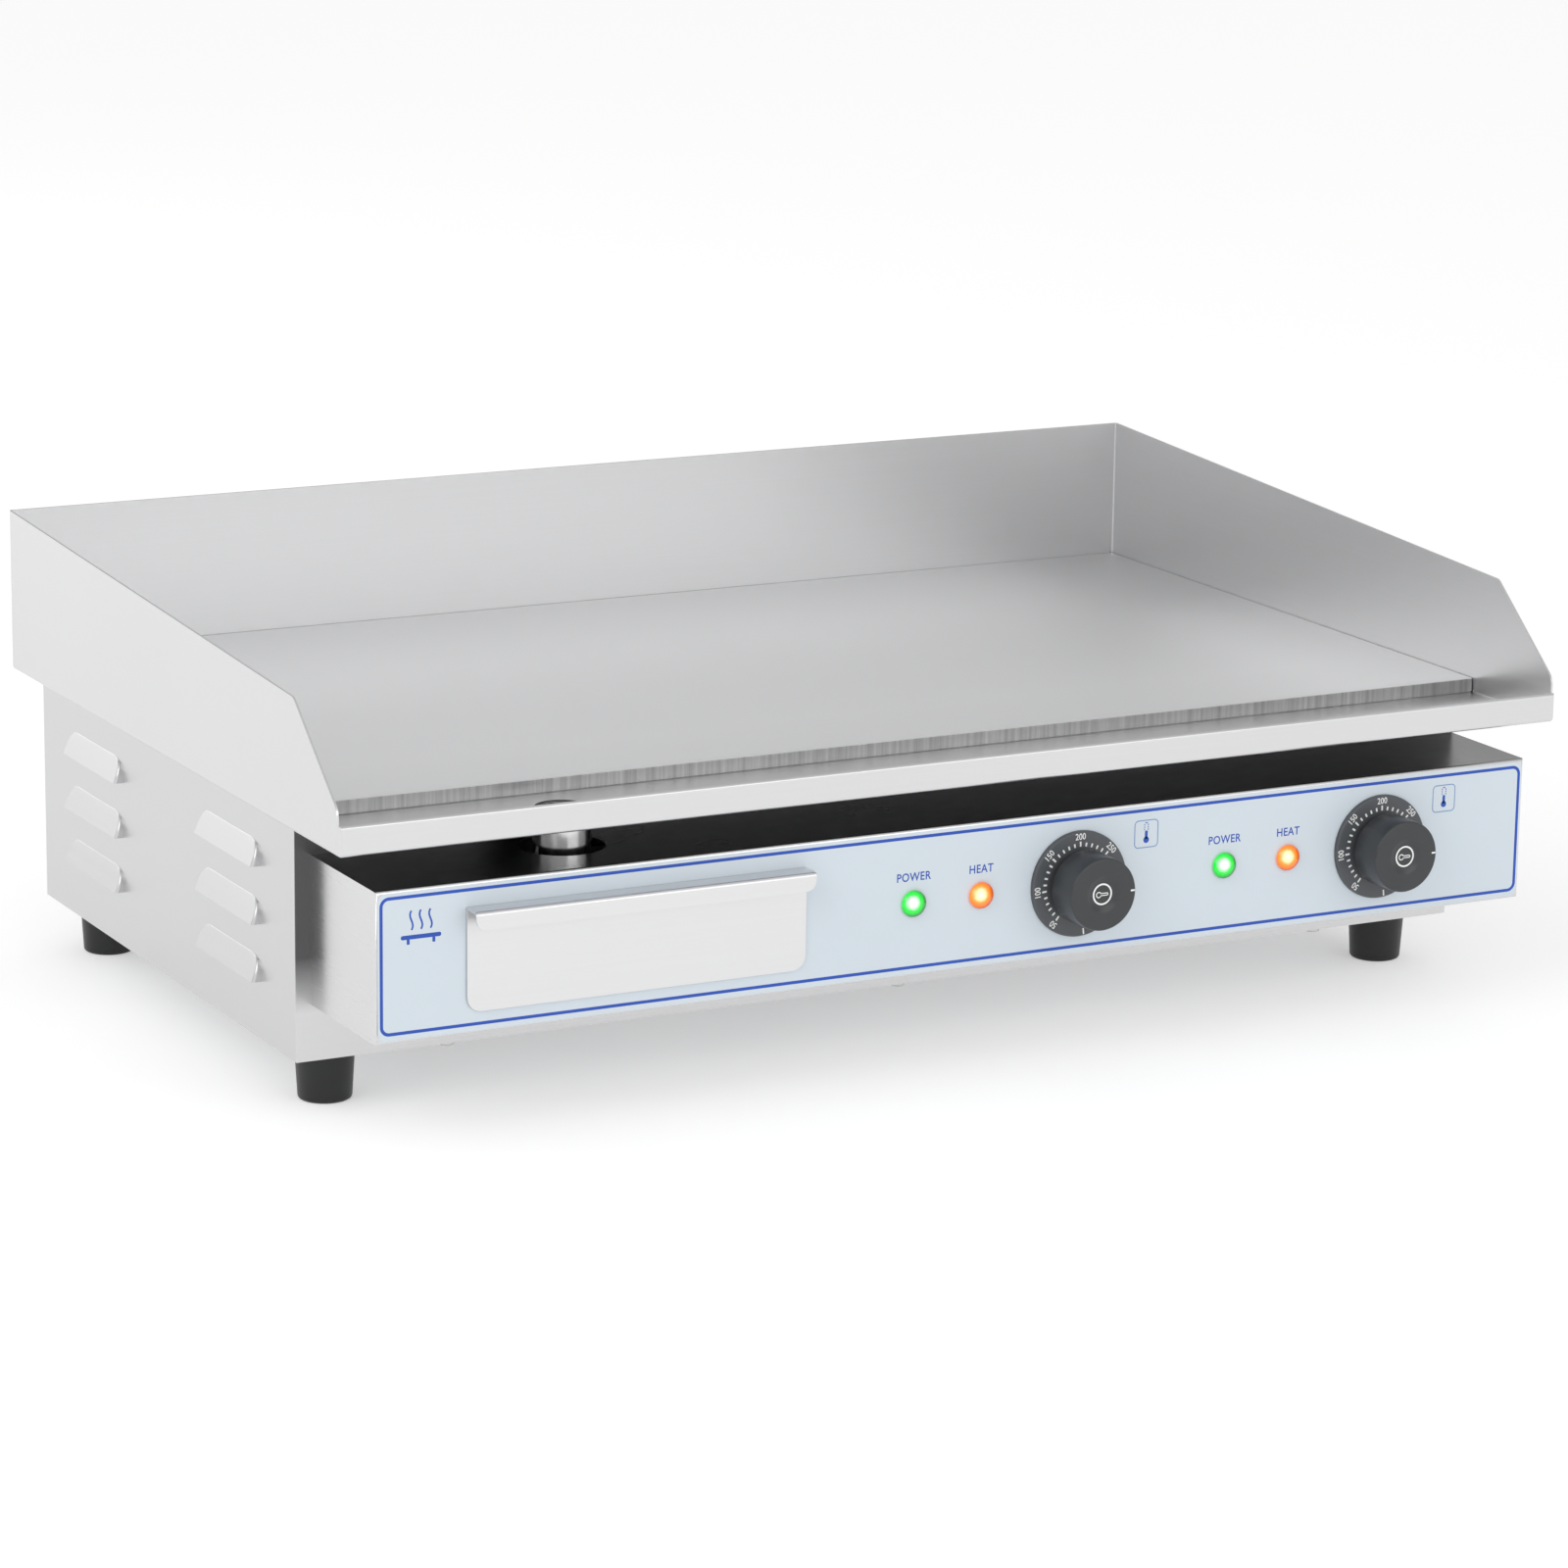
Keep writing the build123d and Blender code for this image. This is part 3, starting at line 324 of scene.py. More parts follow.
body_steel = steel("body_stainless", (0.62, 0.62, 0.625), 0.30)
for node in ("side_panel_left", "side_panel_right"):
    faired(node, "griddle", body_steel, edge=0, angle=25)
faired("rear_panel", "griddle", body_steel, edge=0.2 * mm)
bulkhead_steel = steel("bulkhead_stainless", (0.66, 0.66, 0.665), 0.32)
# Painted shade: above 55 mm the bulkhead is taken down towards black, standing in for the dark side of the
# housing that it reflects.
paint_shade(bulkhead_steel, "Object", "Z", 55 * mm, 85 * mm, 0.85)
faired("front_bulkhead", "griddle", bulkhead_steel, edge=0.2 * mm)
housing_steel = steel("housing_stainless", (0.68, 0.68, 0.685), 0.26)
# Painted shade: the upward-facing top of the housing is taken down towards black, standing in for the dark
# underside of the tray that it reflects.
paint_shade(housing_steel, "Normal", "Z", 0.7, 0.98, 0.62)
faired("control_housing", "griddle", housing_steel, edge=0.15 * mm)


# ------------------------------------------------------------------ drain pipe
# A short stainless tube brazed under the gutter, bright outside, standing in a wide hole in
# the top of the control housing.

pipe_steel = steel("pipe_stainless", (0.70, 0.70, 0.70), 0.16, streak=(300.0, 300.0, 6.0))
faired("drain_pipe", "griddle", pipe_steel, edge=0.2 * mm)


# ------------------------------------------------------------------ grease drawer
# A plain folded tray with a front sheet riveted on. The front's top edge is folded forward
# and down, and makes the finger pull.

drawer_steel = steel("drawer_stainless", (0.74, 0.74, 0.745), 0.36)
faired("drawer_front", "drawer", drawer_steel, edge=0.15 * mm)
faired("drawer_tray", "drawer", drawer_steel, edge=0.15 * mm)


# ------------------------------------------------------------------ inner sheet metal
# Galvanised base pan, heat shield, clamps and runners, with the large soft flake of zinc.

def spangled_zinc():
    material, tree, links, shader = new_finish("spangled_zinc")
    shader.inputs["Metallic"].default_value = 0.9
    place = tree.new("ShaderNodeTexCoord")
    flakes = tree.new("ShaderNodeTexVoronoi")
    flakes.inputs["Scale"].default_value = 90.0
    links.new(place.outputs["Object"], flakes.inputs["Vector"])
    split = tree.new("ShaderNodeSeparateColor")
    links.new(flakes.outputs["Color"], split.inputs[0])
    shade = tree.new("ShaderNodeMix")
    shade.data_type = "RGBA"
    shade.inputs["A"].default_value = (0.42, 0.43, 0.44, 1)
    shade.inputs["B"].default_value = (0.56, 0.57, 0.58, 1)
    links.new(split.outputs["Red"], shade.inputs["Factor"])
    links.new(shade.outputs["Result"], shader.inputs["Base Color"])
    rough = tree.new("ShaderNodeMapRange")
    rough.inputs["To Min"].default_value = 0.32
    rough.inputs["To Max"].default_value = 0.5
    links.new(split.outputs["Green"], rough.inputs["Value"])
    links.new(rough.outputs[0], shader.inputs["Roughness"])
    return material


def coat(material, *names):
    """Gives a finish to pieces that keep their shape."""
    for name in names:
        mesh = nodes[name].data
        mesh.materials.clear()
        mesh.materials.append(material)


zinc = spangled_zinc()
faired("base_pan", "griddle", zinc, edge=0.15 * mm)
coat(zinc, "heat_shield", "element_clamps", "drawer_runner_left", "drawer_runner_right")


# ------------------------------------------------------------------ feet
# Four turned feet of black rubber, slightly tapered, with a deep hole for the screw from
# below. The mould leaves a fine satin skin.

def moulded(name, colour, roughness, grain_size=1400.0, relief=0.12, variation=0.15):
    """Moulded plastic or rubber: fine spark-eroded grain and a faint change of tone."""
    patchy = 0.06
    material, tree, links, shader = new_finish(name)
    place = tree.new("ShaderNodeTexCoord")
    grain = tree.new("ShaderNodeTexNoise")
    grain.inputs["Scale"].default_value = grain_size
    grain.inputs["Detail"].default_value = 3.0
    links.new(place.outputs["Object"], grain.inputs["Vector"])
    tone = tree.new("ShaderNodeTexNoise")
    tone.inputs["Scale"].default_value = 40.0
    links.new(place.outputs["Object"], tone.inputs["Vector"])
    shade = tree.new("ShaderNodeMix")
    shade.data_type = "RGBA"
    shade.inputs["A"].default_value = (*[c * (1 - variation) for c in colour], 1)
    shade.inputs["B"].default_value = (*[c * (1 + variation) for c in colour], 1)
    links.new(tone.outputs["Fac"], shade.inputs["Factor"])
    links.new(shade.outputs["Result"], shader.inputs["Base Color"])
    rough = tree.new("ShaderNodeMapRange")
    rough.inputs["To Min"].default_value = roughness - patchy
    rough.inputs["To Max"].default_value = roughness + patchy
    links.new(grain.outputs["Fac"], rough.inputs["Value"])
    links.new(rough.outputs[0], shader.inputs["Roughness"])
    bump = tree.new("ShaderNodeBump")
    bump.inputs["Strength"].default_value = relief
    bump.inputs["Distance"].default_value = 0.05 * mm
    links.new(grain.outputs["Fac"], bump.inputs["Height"])
    links.new(bump.outputs[0], shader.inputs["Normal"])
    return material


near = 0.01 * mm


def pick(piece, part, test):
    """In edit mode, selects only the faces or edges whose middle and direction pass the test."""
    bpy.ops.mesh.select_mode(type=part)
    bpy.ops.mesh.select_all(action="DESELECT")
    mesh = bmesh.from_edit_mesh(piece.data)
    if part == "FACE":
        for face in mesh.faces:
            face.select_set(test(face.calc_center_median(), face.normal))
    else:
        for edge in mesh.edges:
            low, high = (v.co for v in edge.verts)
            edge.select_set(test((low + high) / 2, (high - low).normalized()))
    bmesh.update_edit_mesh(piece.data)


def open_up(ring_width):
    """Cuts the middle out of the selected flat face and leaves a ring of this width."""
    bpy.ops.mesh.inset(thickness=ring_width)
    bpy.ops.mesh.delete(type="FACE")


def line_hole():
    """Joins the two open rims of a hole with a wall."""
    bpy.ops.mesh.select_mode(type="EDGE")
    bpy.ops.mesh.select_all(action="DESELECT")
    bpy.ops.mesh.select_non_manifold()
    bpy.ops.mesh.bridge_edge_loops()


def leave_outward():
    """Turns every face outwards and leaves edit mode."""
    bpy.ops.mesh.select_all(action="SELECT")
    bpy.ops.mesh.normals_make_consistent(inside=False)
    bpy.ops.object.mode_set(mode="OBJECT")


def turned_blank(name, low, high, radius, axis, sides=96):
    """A round blank between two points on its axis, ready to be shaped in edit mode."""
    middle = (Vector(low) + Vector(high)) / 2
    rotation = {"Y": (math.pi / 2, 0, 0), "Z": (0, 0, 0)}[axis]
    bpy.ops.mesh.primitive_cylinder_add(vertices=sides, radius=radius, location=middle, rotation=rotation,
                                        depth=(Vector(high) - Vector(low)).length)
    piece = bpy.context.object
    piece.name = name
    bpy.ops.object.transform_apply(location=True, rotation=True, scale=True)
    return piece


foot_rubber = moulded("foot_rubber", (0.005, 0.0055, 0.006), 0.42)


def rubber_foot(node):
    low, high = (Vector(corner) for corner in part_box(node))
    x, y = (low.x + high.x) / 2, (low.y + high.y) / 2
    top_radius, bottom_radius, rim_round = 16.0 * mm, 14.25 * mm, 1.8 * mm
    recess_radius, recess_depth, hole_radius = 8.0 * mm, 10.0 * mm, 3.2 * mm
    piece = turned_blank(node + "_rubber", (x, y, low.z), (x, y, high.z), top_radius, "Z")
    bpy.ops.object.mode_set(mode="EDIT")
    pick(piece, "FACE", lambda at, way: way.z < -0.9)
    taper = bottom_radius / top_radius
    bpy.ops.transform.resize(value=(taper, taper, 1), center_override=(x, y, low.z))
    bpy.ops.mesh.inset(thickness=bottom_radius - recess_radius)
    bpy.ops.mesh.inset(thickness=0.0, depth=-recess_depth)
    open_up(recess_radius - hole_radius)
    pick(piece, "FACE", lambda at, way: way.z > 0.9 and at.z > high.z - mm)
    open_up(top_radius - hole_radius)
    line_hole()

    def bottom_rim(at, way):
        far_out = math.hypot(at.x - x, at.y - y) > bottom_radius * 0.99
        return far_out and abs(at.z - low.z) < near and abs(way.z) < 0.1
    pick(piece, "EDGE", bottom_rim)
    bpy.ops.mesh.bevel(offset=rim_round, segments=4, affect="EDGES")
    leave_outward()
    finish(piece, "griddle", foot_rubber)
    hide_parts(node)


for row in ("front", "rear"):
    for side in ("left", "right"):
        rubber_foot(f"foot_{row}_{side}")


# ------------------------------------------------------------------ panel film
# A printed polycarbonate film, very pale blue, glued over the whole front of the housing.
# All its printing is done in one blue ink.

panel_low, panel_high = (Vector(corner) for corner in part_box("panel_label"))
panel_y = panel_low.y
panel_mid_z = (panel_low.z + panel_high.z) / 2
film = moulded("panel_film", (0.60, 0.665, 0.72), 0.33, grain_size=2600.0, relief=0.05, variation=0.012)
coat(film, "panel_label")
blue_ink = moulded("blue_ink", (0.010, 0.070, 0.42), 0.4, relief=0.02)
white_ink = moulded("white_ink", (0.86, 0.87, 0.86), 0.5, relief=0.02, variation=0.03)
grey_ink = moulded("grey_blue_ink", (0.20, 0.31, 0.52), 0.5, relief=0.02, variation=0.03)
ink_film = 0.04 * mm


def join(name, pieces):
    """Joins several objects into one."""
    bpy.ops.object.select_all(action="DESELECT")
    for piece in pieces:
        piece.select_set(True)
    bpy.context.view_layer.objects.active = pieces[0]
    if len(pieces) > 1:
        bpy.ops.object.join()
    bpy.context.object.name = name
    return bpy.context.object


def raise_ink():
    """Gives a flat print the thickness of its ink and leaves edit mode."""
    bpy.ops.mesh.select_all(action="SELECT")
    bpy.ops.mesh.extrude_region_move(TRANSFORM_OT_translate={"value": (0, -ink_film, 0)})
    leave_outward()


def outline(x, z, width, height, corner, line=0.0, y=panel_y):
    """A printed rounded rectangle, filled, or drawn as a line of even width if one is given."""
    bpy.ops.mesh.primitive_plane_add(size=1, location=(x, y, z), rotation=(math.pi / 2, 0, 0))
    piece = bpy.context.object
    piece.scale = (width, height, 1)
    bpy.ops.object.transform_apply(location=True, rotation=True, scale=True)
    bpy.ops.object.mode_set(mode="EDIT")
    bpy.ops.mesh.select_all(action="SELECT")
    bpy.ops.mesh.bevel(offset=corner, segments=10, affect="VERTICES")
    if line:
        pick(piece, "FACE", lambda at, way: True)
        open_up(line)
    raise_ink()
    return piece


def dot(x, z, radius, line=0.0, y=panel_y):
    """A printed disc, or a ring if line is given."""
    bpy.ops.mesh.primitive_circle_add(vertices=48, radius=radius, fill_type="NGON", location=(x, y, z),
                                      rotation=(math.pi / 2, 0, 0))
    piece = bpy.context.object
    bpy.ops.object.transform_apply(location=True, rotation=True, scale=True)
    bpy.ops.object.mode_set(mode="EDIT")
    bpy.ops.mesh.select_all(action="SELECT")
    if line:
        open_up(line)
    raise_ink()
    return piece


def lettering(words, x, z, height, turn=0.0, y=panel_y, spacing=1.0, weight=0.05 * mm):
    """Printed capitals or numerals, standing up from the surface by the thickness of ink."""
    bpy.ops.object.text_add()
    piece = bpy.context.object
    piece.data.body = words
    piece.data.size = height
    piece.data.align_x = "CENTER"
    piece.data.align_y = "CENTER"
    piece.data.space_character = spacing
    piece.data.extrude = ink_film / 2
    piece.data.offset = weight
    piece.data.resolution_u = 4
    narrow = Matrix.Diagonal((0.88, 1, 1, 1))
    place = Matrix.Translation((x, y - ink_film / 2, z)) @ Matrix.Rotation(-turn, 4, "Y")
    piece.matrix_world = place @ Matrix.Rotation(math.pi / 2, 4, "X") @ narrow
    only(piece)
    bpy.ops.object.convert(target="MESH")
    bpy.ops.object.transform_apply(location=True, rotation=True, scale=True)
    return piece


def printed(name, pieces, body, ink):
    piece = join(name, pieces)
    finish(piece, body, ink)
    return piece


lamp_x = {name: sum(corner[0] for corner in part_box(name)) / 2
          for name in ("power_lamp_left", "heat_lamp_left", "power_lamp_right", "heat_lamp_right")}
dial_x = {side: sum(corner[0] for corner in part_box(f"dial_bezel_{side}")) / 2 for side in ("left", "right")}

border = outline(0, 99.7 * mm, width=687 * mm, height=72 * mm, corner=5 * mm, line=1.7 * mm)
printed("border_print", [border], "griddle", blue_ink)
words, words_z = [], 113.4 * mm
for name, x in lamp_x.items():
    word = "POWER" if name.startswith("power") else "HEAT"
    words.append(lettering(word, x, words_z, height=6.4 * mm, spacing=1.08, weight=0.08 * mm))
printed("lamp_words", words, "griddle", blue_ink)


def thermometer(x, z):
    """The temperature sign above each dial: a bulb, its filled stem and the open scale above it."""
    stroke_width, stroke_corner, scale_foot, scale_step = 0.5 * mm, 0.12 * mm, 2.5 * mm, 1.3 * mm
    marks = [dot(x, z - 3.3 * mm, radius=1.75 * mm),
             outline(x, z - 0.5 * mm, width=1.7 * mm, height=4.6 * mm, corner=0.5 * mm)]
    for step in range(3):
        for side in (-1, 1):
            marks.append(outline(x + side * 1.15 * mm, z + scale_foot + step * scale_step,
                                 width=stroke_width, height=0.8 * mm, corner=stroke_corner))
    marks.append(outline(x, z + 6.1 * mm, width=1.6 * mm, height=stroke_width, corner=stroke_corner))
    return marks


sign_step, sign_z = 41.8 * mm, 121.9 * mm
marks, frames = [], []
for x in dial_x.values():
    marks += thermometer(x + sign_step, sign_z)
    frames.append(outline(x + sign_step, sign_z, width=15 * mm, height=15.5 * mm, corner=2.6 * mm,
                          line=0.6 * mm))
printed("thermometer_signs", marks, "griddle", blue_ink)
printed("thermometer_frames", frames, "griddle", grey_ink)


# ------------------------------------------------------------------ heat mark
# A plain sign at the left end of the panel: a hot plate with three waves of heat over it.

def heat_wave(x, z, height):
    """One upright wave, drawn as a curve and given the width of a printed line."""
    sway, rise, line, flattened = 2.6 * mm, 0.35 * height, 1.0 * mm, 0.06
    bpy.ops.curve.primitive_bezier_curve_add()
    curve = bpy.context.object
    points = curve.data.splines[0].bezier_points
    for point, end in zip(points, (-0.5, 0.5)):
        point.co = (x, panel_y, z + end * height)
        point.handle_left = point.co + Vector((-sway, 0, -rise))
        point.handle_right = point.co + Vector((sway, 0, rise))
    curve.data.resolution_u = 12
    curve.data.bevel_depth = line / 2
    curve.data.bevel_resolution = 2
    only(curve)
    bpy.ops.object.convert(target="MESH")
    bpy.ops.object.mode_set(mode="EDIT")
    bpy.ops.mesh.select_all(action="SELECT")
    bpy.ops.transform.resize(value=(1, flattened, 1), center_override=(x, panel_y, z))
    bpy.ops.object.mode_set(mode="OBJECT")
    return bpy.context.object


mark_x, mark_z = -321 * mm, 118 * mm
waves = [heat_wave(mark_x + step * 5.2 * mm, mark_z + 4.5 * mm, height=10 * mm) for step in (-1, 0, 1)]
plate_sign = outline(mark_x, mark_z - 4.2 * mm, width=22 * mm, height=2.2 * mm, corner=1.0 * mm)
feet_sign = [outline(mark_x + side * 7 * mm, mark_z - 6.6 * mm, width=1.6 * mm, height=2.6 * mm,
                     corner=0.4 * mm) for side in (-1, 1)]
printed("heat_mark", waves + [plate_sign] + feet_sign, "griddle", blue_ink)


# ------------------------------------------------------------------ dials
# Each dial is a thin moulded disc screwed to the panel, printed in white: ticks every ten
# degrees from 50 to 300, a numeral every fifty, and a short stroke where the dial is off.

dial_plastic = moulded("dial_plastic", (0.070, 0.076, 0.083), 0.38)
degrees_per_ten, angle_at_50, angle_off = 9.4, 232.0, 276.0
tick_count, ticks_a_numeral, degrees_a_tick, first_numeral = 26, 5, 10, 50
tick_foot, short_tip, long_tip, tick_width = 20.6 * mm, 22.7 * mm, 23.4 * mm, 1.0 * mm
numeral_reach, numeral_height = 25.9 * mm, 4.9 * mm
off_foot, off_tip, off_width = 24.6 * mm, 28.0 * mm, 0.8 * mm


def dial(side):
    node = f"dial_bezel_{side}"
    low, high = (Vector(corner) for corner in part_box(node))
    x, z = dial_x[side], (low.z + high.z) / 2
    radius, hole, rim_round = (high.x - low.x) / 2, 6.0 * mm, 1.1 * mm
    piece = turned_blank(node + "_disc", (x, low.y, z), (x, high.y, z), radius, "Y", 128)
    bpy.ops.object.mode_set(mode="EDIT")
    for outward in (-1, 1):
        pick(piece, "FACE", lambda at, way: way.y * outward > 0.9)
        open_up(radius - hole)
    line_hole()

    def front_rim(at, way):
        return at.y < low.y + near and math.hypot(at.x - x, at.z - z) > radius * 0.99
    pick(piece, "EDGE", front_rim)
    bpy.ops.mesh.bevel(offset=rim_round, segments=5, affect="EDGES")
    leave_outward()
    finish(piece, "griddle", dial_plastic)
    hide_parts(node)

    def stroke(angle, foot, tip, width):
        """A printed tick that points at the middle of the dial."""
        middle = (foot + tip) / 2
        at = (x + middle * math.cos(angle), low.y, z + middle * math.sin(angle))
        tick = outline(at[0], at[2], tip - foot, width, corner=width * 0.2, y=low.y)
        only(tick)
        bpy.ops.object.mode_set(mode="EDIT")
        bpy.ops.mesh.select_all(action="SELECT")
        bpy.ops.transform.rotate(value=angle, orient_axis="Y", center_override=at)
        bpy.ops.object.mode_set(mode="OBJECT")
        return tick

    print_pieces = []
    for step in range(tick_count):
        angle = math.radians(angle_at_50 - step * degrees_per_ten)
        with_numeral = step % ticks_a_numeral == 0
        print_pieces.append(stroke(angle, tick_foot, long_tip if with_numeral else short_tip, tick_width))
        if with_numeral:
            print_pieces.append(lettering(str(first_numeral + step * degrees_a_tick),
                                          x + numeral_reach * math.cos(angle),
                                          z + numeral_reach * math.sin(angle),
                                          numeral_height, angle - math.pi / 2, low.y))
    print_pieces.append(stroke(math.radians(angle_off), off_foot, off_tip, off_width))
    printed(f"dial_print_{side}", print_pieces, "griddle", white_ink)


for side in ("left", "right"):
    dial(side)


# ------------------------------------------------------------------ knobs
# A round grip moulded in charcoal plastic, hollow at the back, with a narrower skirt behind
# it and a shallow dish in its face. The print is white: a ring and a thermometer in the dish,
# and a pointer on the rim.

knob_plastic = moulded("knob_plastic", (0.034, 0.037, 0.040), 0.34, relief=0.16)


def knob(side):
    node = f"knob_{side}"
    low, high = (Vector(corner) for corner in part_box(node))
    x, z = (low.x + high.x) / 2, (low.z + high.z) / 2
    radius, length = (high.x - low.x) / 2, high.y - low.y
    draft, rim_round, face_thickness, hub_set_back = 0.3 * mm, 1.2 * mm, 4.5 * mm, 1.0 * mm
    dish, dish_floor, dish_depth, dish_round = 10.0 * mm, 6.9 * mm, 1.5 * mm, 0.8 * mm
    wall, hub, skirt, skirt_height = 2.2 * mm, 6.5 * mm, 17.6 * mm, 4.0 * mm
    piece = turned_blank(node + "_grip", (x, low.y, z), (x, high.y - skirt_height, z), radius, "Y", 128)
    bpy.ops.object.mode_set(mode="EDIT")
    pick(piece, "FACE", lambda at, way: way.y < -0.9)
    narrow = (radius - draft) / radius
    bpy.ops.transform.resize(value=(narrow, 1, narrow), center_override=(x, low.y, z))
    bpy.ops.mesh.inset(thickness=radius - draft - dish)
    bpy.ops.mesh.inset(thickness=dish - dish_floor, depth=-dish_depth)
    pick(piece, "FACE", lambda at, way: way.y > 0.9)
    bpy.ops.mesh.inset(thickness=radius - skirt)
    bpy.ops.mesh.inset(thickness=0.0, depth=skirt_height)
    bpy.ops.mesh.inset(thickness=wall)
    bpy.ops.mesh.inset(thickness=0.0, depth=-(length - face_thickness))
    bpy.ops.mesh.inset(thickness=skirt - wall - hub)
    bpy.ops.mesh.inset(thickness=0.0, depth=length - face_thickness - hub_set_back)

    def reach(at):
        return math.hypot(at.x - x, at.z - z)

    def runs_round(at, way):
        return abs(way.x * (at.x - x) + way.z * (at.z - z)) < 0.1 * mm
    pick(piece, "EDGE", lambda at, way: runs_round(at, way) and at.y < low.y + near
         and reach(at) > dish + mm)
    bpy.ops.mesh.bevel(offset=rim_round, segments=6, affect="EDGES")
    pick(piece, "EDGE", lambda at, way: runs_round(at, way) and at.y < low.y + 2 * mm
         and min(abs(reach(at) - dish), abs(reach(at) - dish_floor)) < 0.2 * mm)
    bpy.ops.mesh.bevel(offset=dish_round, segments=4, affect="EDGES")
    leave_outward()
    finish(piece, f"{side}_knob", knob_plastic, 40)
    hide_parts(node)

    floor_y = low.y + dish_depth
    ring = dot(x, z, radius=5.9 * mm, line=0.9 * mm, y=floor_y)
    bulb = dot(x - 2.2 * mm, z - 0.2 * mm, radius=1.7 * mm, line=0.5 * mm, y=floor_y)
    stem = outline(x + 1.3 * mm, z - 0.1 * mm, width=4.6 * mm, height=1.6 * mm, corner=0.7 * mm,
                   line=0.45 * mm, y=floor_y)
    printed(f"knob_print_{side}", [ring, bulb, stem], f"{side}_knob", white_ink)
    pointer = outline(x + radius - 2.3 * mm, z + 0.6 * mm, width=2.4 * mm, height=0.9 * mm,
                      corner=0.15 * mm, y=low.y)
    printed(f"knob_pointer_{side}", [pointer], f"{side}_knob", white_ink)


for side in ("left", "right"):
    knob(side)


# ------------------------------------------------------------------ lamps
# Domed lenses pressed into the panel. A filament glows behind each: the middle is nearly
# white and the colour deepens towards the rim.

filament_left, filament_up, glow_radius, collar = 2.0 * mm, 1.2 * mm, 8.0 * mm, 0.8 * mm


def lit_lens(name, x, deep, bright, hot):
    material, tree, links, shader = new_finish(name)
    shader.inputs["Roughness"].default_value = 0.12
    shader.inputs["Coat Weight"].default_value = 0.6
    shader.inputs["Emission Strength"].default_value = 0.85
    place = tree.new("ShaderNodeTexCoord")
    centre = tree.new("ShaderNodeMapping")
    centre.vector_type = "TEXTURE"
    centre.inputs["Location"].default_value = (x - filament_left, panel_y, panel_mid_z + filament_up)
    centre.inputs["Scale"].default_value = (glow_radius, 1.0, glow_radius)
    links.new(place.outputs["Object"], centre.inputs["Vector"])
    ball = tree.new("ShaderNodeTexGradient")
    ball.gradient_type = "SPHERICAL"
    links.new(centre.outputs[0], ball.inputs["Vector"])
    facets = tree.new("ShaderNodeTexNoise")
    facets.inputs["Scale"].default_value = 700.0
    links.new(place.outputs["Object"], facets.inputs["Vector"])
    uneven = tree.new("ShaderNodeMath")
    uneven.operation = "MULTIPLY_ADD"
    uneven.inputs[1].default_value = 0.16
    links.new(facets.outputs["Fac"], uneven.inputs[0])
    links.new(ball.outputs["Fac"], uneven.inputs[2])
    glow = tree.new("ShaderNodeValToRGB")
    glow.color_ramp.elements[0].position = 0.08
    glow.color_ramp.elements[0].color = (*deep, 1)
    glow.color_ramp.elements[1].position = 0.95
    glow.color_ramp.elements[1].color = (*hot, 1)
    middle = glow.color_ramp.elements.new(0.52)
    middle.color = (*bright, 1)
    links.new(uneven.outputs[0], glow.inputs[0])
    links.new(glow.outputs[0], shader.inputs["Base Color"])
    links.new(glow.outputs[0], shader.inputs["Emission Color"])
    return material


lamp_colours = {
    "power": ("green_lens", (0.0, 0.09, 0.01), (0.0, 0.62, 0.03), (0.75, 1.0, 0.75)),
    "heat": ("orange_lens", (0.30, 0.035, 0.0), (1.0, 0.20, 0.01), (1.0, 0.82, 0.45)),
}


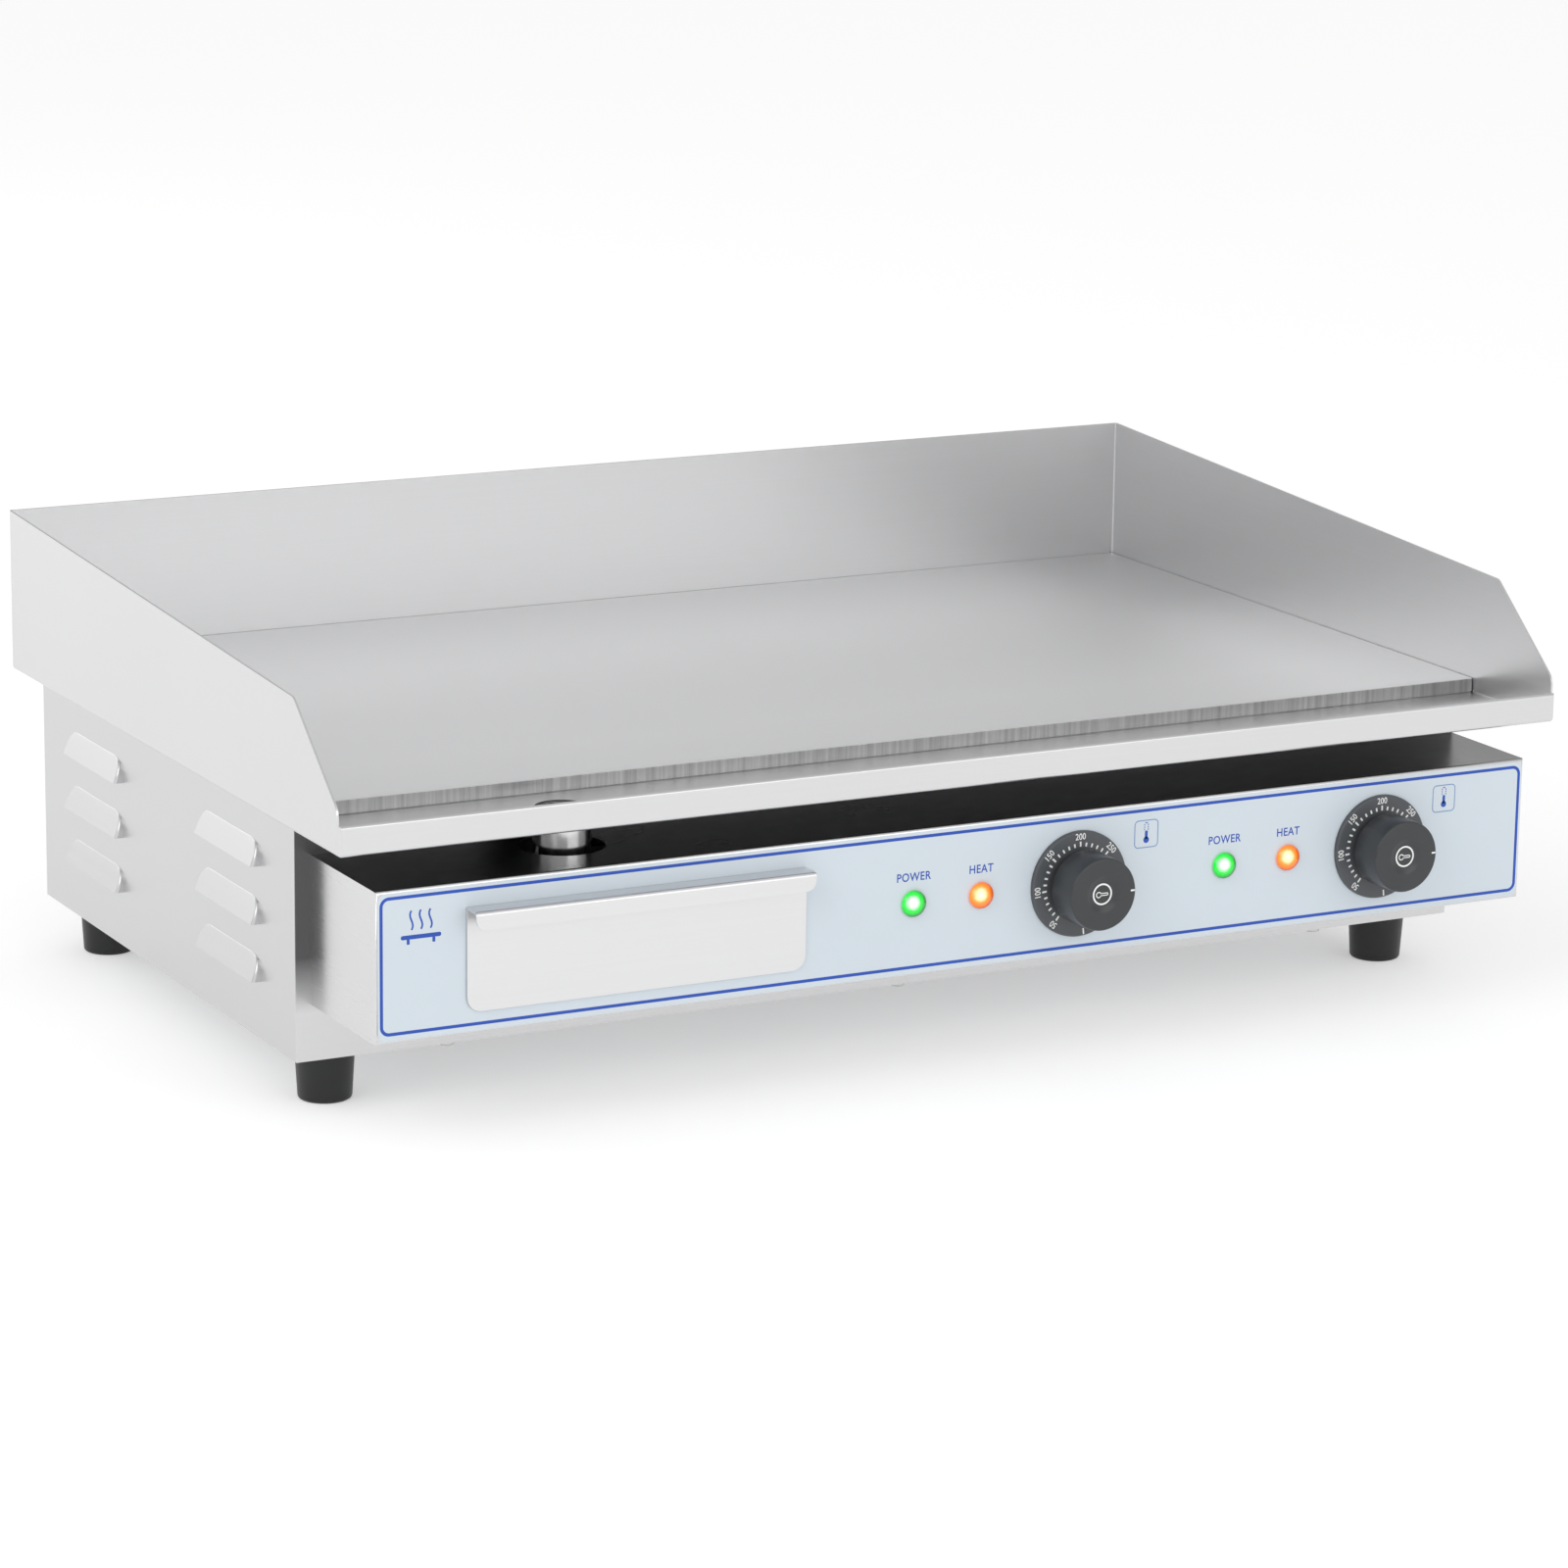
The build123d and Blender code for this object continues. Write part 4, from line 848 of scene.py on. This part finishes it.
def lamp(node):
    slot, deep, bright, hot = lamp_colours[node.split("_")[0]]
    low, high = (Vector(corner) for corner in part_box(node))
    x, z = (low.x + high.x) / 2, (low.z + high.z) / 2
    radius = (high.x - low.x) / 2
    rise = panel_y - low.y
    bpy.ops.mesh.primitive_uv_sphere_add(segments=64, ring_count=32, radius=radius, location=(x, panel_y, z),
                                         rotation=(math.pi / 2, 0, 0))
    piece = bpy.context.object
    piece.name = node + "_lens"
    bpy.ops.object.transform_apply(location=True, rotation=True, scale=True)
    bpy.ops.object.mode_set(mode="EDIT")
    bpy.ops.mesh.select_all(action="SELECT")
    bpy.ops.mesh.bisect(plane_co=(x, panel_y, z), plane_no=(0, 1, 0), clear_outer=True, use_fill=True)
    bpy.ops.mesh.select_all(action="SELECT")
    bpy.ops.transform.resize(value=(1, (rise - collar) / radius, 1), center_override=(x, panel_y, z))
    pick(piece, "FACE", lambda at, way: abs(at.y - panel_y) > near)
    bpy.ops.transform.translate(value=(0, -collar, 0))
    leave_outward()
    finish(piece, "griddle", lit_lens(f"lit_{node}", x, deep, bright, hot), 50)
    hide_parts(node)


for node in lamp_x:
    lamp(node)


# ------------------------------------------------------------------ fasteners and fittings
# Zinc-plated screws, studs and nuts; black polyamide glands at the back; the brass bonding
# stud; and what sits inside: elements, insulation, thermostats and terminal blocks.

plated = steel("zinc_plate", (0.62, 0.62, 0.60), 0.30, streak=(200.0, 200.0, 200.0))
faired("base_screws", "griddle", plated, edge=0)
faired("foot_screws", "griddle", plated, edge=0.15 * mm)
coat(plated, "plate_studs", "plate_nuts", "clamp_nuts", "foot_nuts", "housing_screws", "bezel_screws",
     "drawer_rivets", "knob_shaft_left", "knob_shaft_right")
black_polyamide = moulded("black_polyamide", (0.022, 0.022, 0.024), 0.45)
for side in ("left", "right"):
    faired(f"cable_gland_{side}", "griddle", black_polyamide, edge=0.3 * mm)
coat(black_polyamide, "gland_locknuts", "wiring_grommets", "lamp_holders", "thermostat_left",
     "thermostat_right")
brass = steel("brass", (0.72, 0.52, 0.24), 0.28, streak=(150.0, 150.0, 150.0))
faired("bonding_stud", "griddle", brass, edge=0.2 * mm)
faired("bonding_nuts", "griddle", brass, edge=0.2 * mm)
coat(brass, "earth_stud", "temperature_sensor_left", "temperature_sensor_right")
sheath = steel("element_sheath", (0.25, 0.235, 0.22), 0.5, streak=(60.0, 60.0, 60.0), smudge=0.2)
coat(sheath, "heating_element_left", "heating_element_right")
fibre_board = moulded("ceramic_fibre", (0.80, 0.78, 0.73), 0.9, grain_size=500.0, relief=0.6, variation=0.06)
coat(fibre_board, "insulation_pad")
glazed = moulded("glazed_ceramic", (0.78, 0.76, 0.71), 0.2, grain_size=60.0, relief=0.05, variation=0.04)
coat(glazed, "terminal_block_left", "terminal_block_right")
